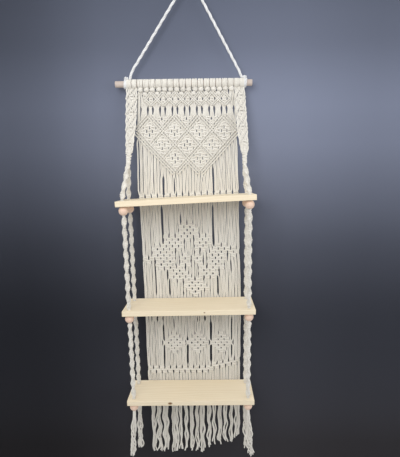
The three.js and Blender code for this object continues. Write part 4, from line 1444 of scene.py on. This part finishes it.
def make_wall(studio):
    """Slate wall close behind the shelf, which only the camera in front of it meets, its colour holding painted
    light: painted shade towards the floor, painted light to the right and a painted pool of light high up.
    """
    material, tree, shader = new_material("slate_wall", {"Roughness": 0.9, "Specular IOR Level": 0.1})
    place = add_node(tree, "ShaderNodeTexCoord").outputs["Object"]
    axes = add_node(tree, "ShaderNodeSeparateXYZ", {0: place}).outputs
    # Painted shade: the slate darkens towards the floor.
    share = ranged(tree, axes[2], *WALL_PAINTED_SHADE_SPAN)
    colour = mixed(tree, share, (*studio.wall_shaded_below, 1), (*studio.wall_lit_above, 1))
    # Painted light: brighter to the right of the middle, and a painted pool of light across the wall's upper
    # part.
    for axis, stops in ((0, WALL_PAINTED_LIGHT_ACROSS), (2, WALL_PAINTED_LIGHT_UP)):
        inputs = {0: colour, "Scale": level_curve(tree, axes[axis], stops)}
        colour = add_node(tree, "ShaderNodeVectorMath", inputs, operation="SCALE").outputs[0]
    tree.links.new(colour, shader.inputs["Base Color"])
    path = add_node(tree, "ShaderNodeLightPath")
    behind = add_node(tree, "ShaderNodeNewGeometry").outputs["Backfacing"]
    met = arithmetic(tree, "SUBTRACT", path.outputs["Is Camera Ray"], behind)
    clear = add_node(tree, "ShaderNodeBsdfTransparent")
    mix = add_node(tree, "ShaderNodeMixShader", {0: met, 1: clear.outputs[0], 2: shader.outputs[0]})
    output = next(node for node in tree.nodes if node.type == "OUTPUT_MATERIAL")
    tree.links.new(mix.outputs[0], output.inputs["Surface"])
    corner = (-STAGE_HALF, studio.wall_gap, -studio.floor_drop)
    stage_sheet("wall", material, corner, (-STAGE_HALF, studio.wall_gap, WALL_TOP), 20, 24)


def make_floor(studio):
    """Plain pale floor."""
    material, tree, shader = new_material("pale_floor", {"Roughness": 0.8})
    speckle = add_node(tree, "ShaderNodeTexNoise", {"Scale": 9.0, "Detail": 4.0}).outputs[0]
    colour = mixed(tree, speckle, linear((196, 196, 198)), linear((206, 205, 203)))
    tree.links.new(colour, shader.inputs["Base Color"])
    z = -studio.floor_drop
    stage_sheet("floor", material, (-STAGE_HALF, -STAGE_HALF, z), (-STAGE_HALF, STAGE_HALF, z), 24, 32)


def make_surroundings(studio):
    """Slate surroundings as the camera and reflections see them, in painted shade below, and an even pale
    light.
    """
    world = bpy.data.worlds.new("studio")
    bpy.context.scene.world = world
    world.use_nodes = True
    tree = world.node_tree
    tree.nodes.clear()
    direction = add_node(tree, "ShaderNodeTexCoord").outputs["Generated"]
    rise = add_node(tree, "ShaderNodeSeparateXYZ", {0: direction}).outputs[2]
    # Painted shade: the surroundings seen by the camera go from the shaded slate below to the lit slate above.
    ramp = add_node(tree, "ShaderNodeValToRGB", {0: ranged(tree, rise, -0.6, 0.4)})
    for mark, colour in zip(ramp.color_ramp.elements, (studio.wall_shaded_below, studio.wall_lit_above)):
        mark.color = (*colour, 1)
    seen = add_node(tree, "ShaderNodeBackground", {"Color": ramp.outputs[0], "Strength": 1.0})
    above = ranged(tree, rise, -0.7, 0.7, 0.6 * studio.sky, 1.5 * studio.sky)
    light = add_node(tree, "ShaderNodeBackground", {"Color": (1.0, 0.995, 0.985, 1), "Strength": above})
    path = add_node(tree, "ShaderNodeLightPath").outputs
    rays = arithmetic(tree, "MAXIMUM", path["Is Camera Ray"], path["Is Glossy Ray"])
    rays = arithmetic(tree, "MAXIMUM", rays, path["Is Transmission Ray"])
    mix = add_node(tree, "ShaderNodeMixShader", {0: rays, 1: light.outputs[0], 2: seen.outputs[0]})
    add_node(tree, "ShaderNodeOutputWorld", {0: mix.outputs[0]})


def make_stage():
    """Surroundings, lamps, wall and floor."""
    studio = bpy.context.scene.shelf_studio
    bpy.context.scene.view_settings.view_transform = "Standard"
    make_surroundings(studio)
    make_lamps(studio)
    make_wall(studio)
    make_floor(studio)


# The add-on


def length_setting(name, description, default, smallest=0.001):
    """A length that a user can change."""
    return bpy.props.FloatProperty(
        name=name, description=description, default=default, min=smallest, unit="LENGTH")


def power_setting(name, description, default):
    """A lamp's power that a user can change."""
    return bpy.props.FloatProperty(name=name, description=description, default=default, min=0.0, unit="POWER")


def colour_setting(name, description, *screen):
    """A colour that a user can change, its default given as a screen colour."""
    return bpy.props.FloatVectorProperty(
        name=name, description=description, default=linear(screen)[:3], min=0.0, max=1.0, subtype="COLOR")


class ShelfYarn(bpy.types.PropertyGroup):
    """Sizes and colours of the cotton."""

    strand: length_setting("Strand", "Diameter of one strand of the panel", 0.0047)
    hanging_cord: length_setting("Hanging cord", "Diameter of the cord that goes over the hook", 0.007, 0.002)
    sennit_width: length_setting("Rope width", "Width of the turns of a spiral rope", 0.0138, 0.004)
    sennit_depth: length_setting("Rope depth", "Depth of the turns of a spiral rope", 0.0063, 0.002)
    lay: length_setting("Lay", "Length along a strand in which one ply comes round to the next", 0.0032)
    hanging_lay: length_setting("Hanging cord lay", "The same length along the hanging cord", 0.0095)
    # Groove sets how dark the painted shade in the grooves between plies is.
    groove: bpy.props.FloatProperty(
        name="Groove", description="How dark the grooves between plies are", default=0.38,
        min=0.0, max=1.0, subtype="FACTOR")
    colour: colour_setting("Cotton", "Colour of the cotton", 240, 237, 230)
    # The groove colours of the cotton and of the hanging cord are painted shade between the plies.
    groove_shade_colour: colour_setting("Cotton groove", "Colour of the cotton in its grooves", 192, 186, 175)
    hanging_colour: colour_setting("Hanging cord", "Colour of the hanging cord", 238, 239, 240)
    hanging_groove_shade: colour_setting(
        "Hanging cord groove", "Colour of the hanging cord in its grooves", 180, 180, 184)


class ShelfTimber(bpy.types.PropertyGroup):
    """Edges and colours of the wood."""

    eased_edge: length_setting("Eased edge", "Rounding of the boards' edges", 0.0011, 0.0)
    ring_width: length_setting("Ring width", "Distance between year rings in the pine", 0.0052)
    pine_pale: colour_setting("Pine", "Colour of the pine between its rings", 240, 227, 202)
    pine_dark: colour_setting("Pine rings", "Colour of the pine's rings", 222, 203, 168)
    beech_pale: colour_setting("Bead", "Colour of the beads", 240, 212, 192)
    beech_dark: colour_setting("Bead rings", "Colour of the beads' rings", 216, 180, 158)
    # The dowel's colours: partly the dowel's own tone, partly painted shade that keeps it darker than the beads
    # under more lamp light.
    dowel_pale_with_shade: colour_setting("Dowel", "Colour of the dowel", 200, 187, 178)
    dowel_rings_with_shade: colour_setting("Dowel rings", "Colour of the dowel's rings", 182, 166, 155)


class ShelfStudio(bpy.types.PropertyGroup):
    """Light and surroundings."""

    key: power_setting("Key lamp", "Power of the main lamp", 12.7)
    fill: power_setting("Fill lamp", "Power of the weaker lamp", 10.0)
    back: power_setting("Back lamp", "Power of the lamp behind the wall", 4.5)
    sky: bpy.props.FloatProperty(
        name="Surroundings", description="Strength of the light from all around", default=0.53, min=0.0)
    wall_gap: length_setting("Wall", "Distance of the wall behind the dowel's axis", 0.03, 0.02)
    floor_drop: length_setting("Floor", "Height of the hook above the floor", 1.98, 1.7)
    # Painted light and shade: the slate as lit above and as shaded below, for the wall and for the surroundings
    # the camera sees.
    wall_lit_above: colour_setting("Above", "Colour seen behind the top", 98, 104, 121)
    wall_shaded_below: colour_setting("Below", "Colour seen behind the foot", 42, 41, 44)


class SHELF_OT_camera(bpy.types.Operator):
    """Set the camera at the photograph's angle"""

    bl_idname = "rope_shelf.camera"
    bl_label = "Camera"

    def execute(self, context):
        make_camera()
        return {"FINISHED"}


class SHELF_OT_hanging_cord(bpy.types.Operator):
    """Twist the hanging cord from the dowel over the hook"""

    bl_idname = "rope_shelf.hanging_cord"
    bl_label = "Hanging cord"

    def execute(self, context):
        make_hanging_cord()
        return {"FINISHED"}


class SHELF_OT_cord_knots(bpy.types.Operator):
    """Tie the hanging cord round the dowel"""

    bl_idname = "rope_shelf.cord_knots"
    bl_label = "Cord knots"

    def execute(self, context):
        make_cord_knots()
        return {"FINISHED"}


class SHELF_OT_dowel(bpy.types.Operator):
    """Turn the dowel"""

    bl_idname = "rope_shelf.dowel"
    bl_label = "Dowel"

    def execute(self, context):
        make_dowel()
        return {"FINISHED"}


class SHELF_OT_hitches(bpy.types.Operator):
    """Loop the panel's and the bands' cords on to the dowel"""

    bl_idname = "rope_shelf.hitches"
    bl_label = "Hitches"

    def execute(self, context):
        make_hitches()
        return {"FINISHED"}


class SHELF_OT_panel(bpy.types.Operator):
    """Hang the panel's strands and knot its heading, heart, star, diamonds and swag"""

    bl_idname = "rope_shelf.panel"
    bl_label = "Panel"

    def execute(self, context):
        make_panel()
        return {"FINISHED"}


class SHELF_OT_bands(bpy.types.Operator):
    """Knot the two side bands"""

    bl_idname = "rope_shelf.bands"
    bl_label = "Side bands"

    def execute(self, context):
        make_bands()
        return {"FINISHED"}


class SHELF_OT_ropes(bpy.types.Operator):
    """Knot the twelve spiral ropes"""

    bl_idname = "rope_shelf.ropes"
    bl_label = "Spiral ropes"

    def execute(self, context):
        make_ropes()
        return {"FINISHED"}


class SHELF_OT_bundles(bpy.types.Operator):
    """Lead the ropes through boards and beads"""

    bl_idname = "rope_shelf.bundles"
    bl_label = "Rope bundles"

    def execute(self, context):
        make_bundles()
        return {"FINISHED"}


class SHELF_OT_boards(bpy.types.Operator):
    """Cut and ease the three boards"""

    bl_idname = "rope_shelf.boards"
    bl_label = "Boards"

    def execute(self, context):
        make_boards()
        return {"FINISHED"}


class SHELF_OT_beads(bpy.types.Operator):
    """Turn the twelve beads"""

    bl_idname = "rope_shelf.beads"
    bl_label = "Beads"

    def execute(self, context):
        make_beads()
        return {"FINISHED"}


class SHELF_OT_tassels(bpy.types.Operator):
    """Let the rope ends hang below the lowest beads"""

    bl_idname = "rope_shelf.tassels"
    bl_label = "Tassels"

    def execute(self, context):
        make_tassels()
        return {"FINISHED"}


class SHELF_OT_stage(bpy.types.Operator):
    """Set the floor, the wall, the surroundings and the lamps"""

    bl_idname = "rope_shelf.stage"
    bl_label = "Stage"

    def execute(self, context):
        make_stage()
        return {"FINISHED"}


OPERATORS = (
    SHELF_OT_camera, SHELF_OT_hanging_cord, SHELF_OT_cord_knots, SHELF_OT_dowel, SHELF_OT_hitches,
    SHELF_OT_panel, SHELF_OT_bands, SHELF_OT_ropes, SHELF_OT_bundles, SHELF_OT_boards,
    SHELF_OT_beads, SHELF_OT_tassels, SHELF_OT_stage,
)
GROUPS = {"shelf_yarn": ShelfYarn, "shelf_timber": ShelfTimber, "shelf_studio": ShelfStudio}


class SHELF_PT_sidebar(bpy.types.Panel):
    """The shelf's settings and pieces in the sidebar"""

    bl_idname = "SHELF_PT_sidebar"
    bl_label = "Hanging rope shelf"
    bl_space_type = "VIEW_3D"
    bl_region_type = "UI"
    bl_category = "Rope shelf"

    def draw(self, context):
        for group, kind in GROUPS.items():
            column = self.layout.column(align=True)
            for name in kind.__annotations__:
                column.prop(getattr(context.scene, group), name)
        for operator in OPERATORS:
            self.layout.operator(operator.bl_idname)


CLASSES = (*GROUPS.values(), *OPERATORS, SHELF_PT_sidebar)


def register():
    """Adds the settings, the operators and the sidebar panel."""
    for kind in CLASSES:
        bpy.utils.register_class(kind)
    for name, kind in GROUPS.items():
        setattr(bpy.types.Scene, name, bpy.props.PointerProperty(type=kind))


def unregister():
    """Takes them away again."""
    for name in GROUPS:
        delattr(bpy.types.Scene, name)
    for kind in reversed(CLASSES):
        bpy.utils.unregister_class(kind)


def main():
    """Builds every piece in order."""
    register()
    bpy.ops.rope_shelf.camera()
    bpy.ops.rope_shelf.hanging_cord()
    bpy.ops.rope_shelf.cord_knots()
    bpy.ops.rope_shelf.dowel()
    bpy.ops.rope_shelf.hitches()
    bpy.ops.rope_shelf.panel()
    bpy.ops.rope_shelf.bands()
    bpy.ops.rope_shelf.ropes()
    bpy.ops.rope_shelf.bundles()
    bpy.ops.rope_shelf.boards()
    bpy.ops.rope_shelf.beads()
    bpy.ops.rope_shelf.tassels()
    bpy.ops.rope_shelf.stage()


if __name__ == "__main__":
    main()
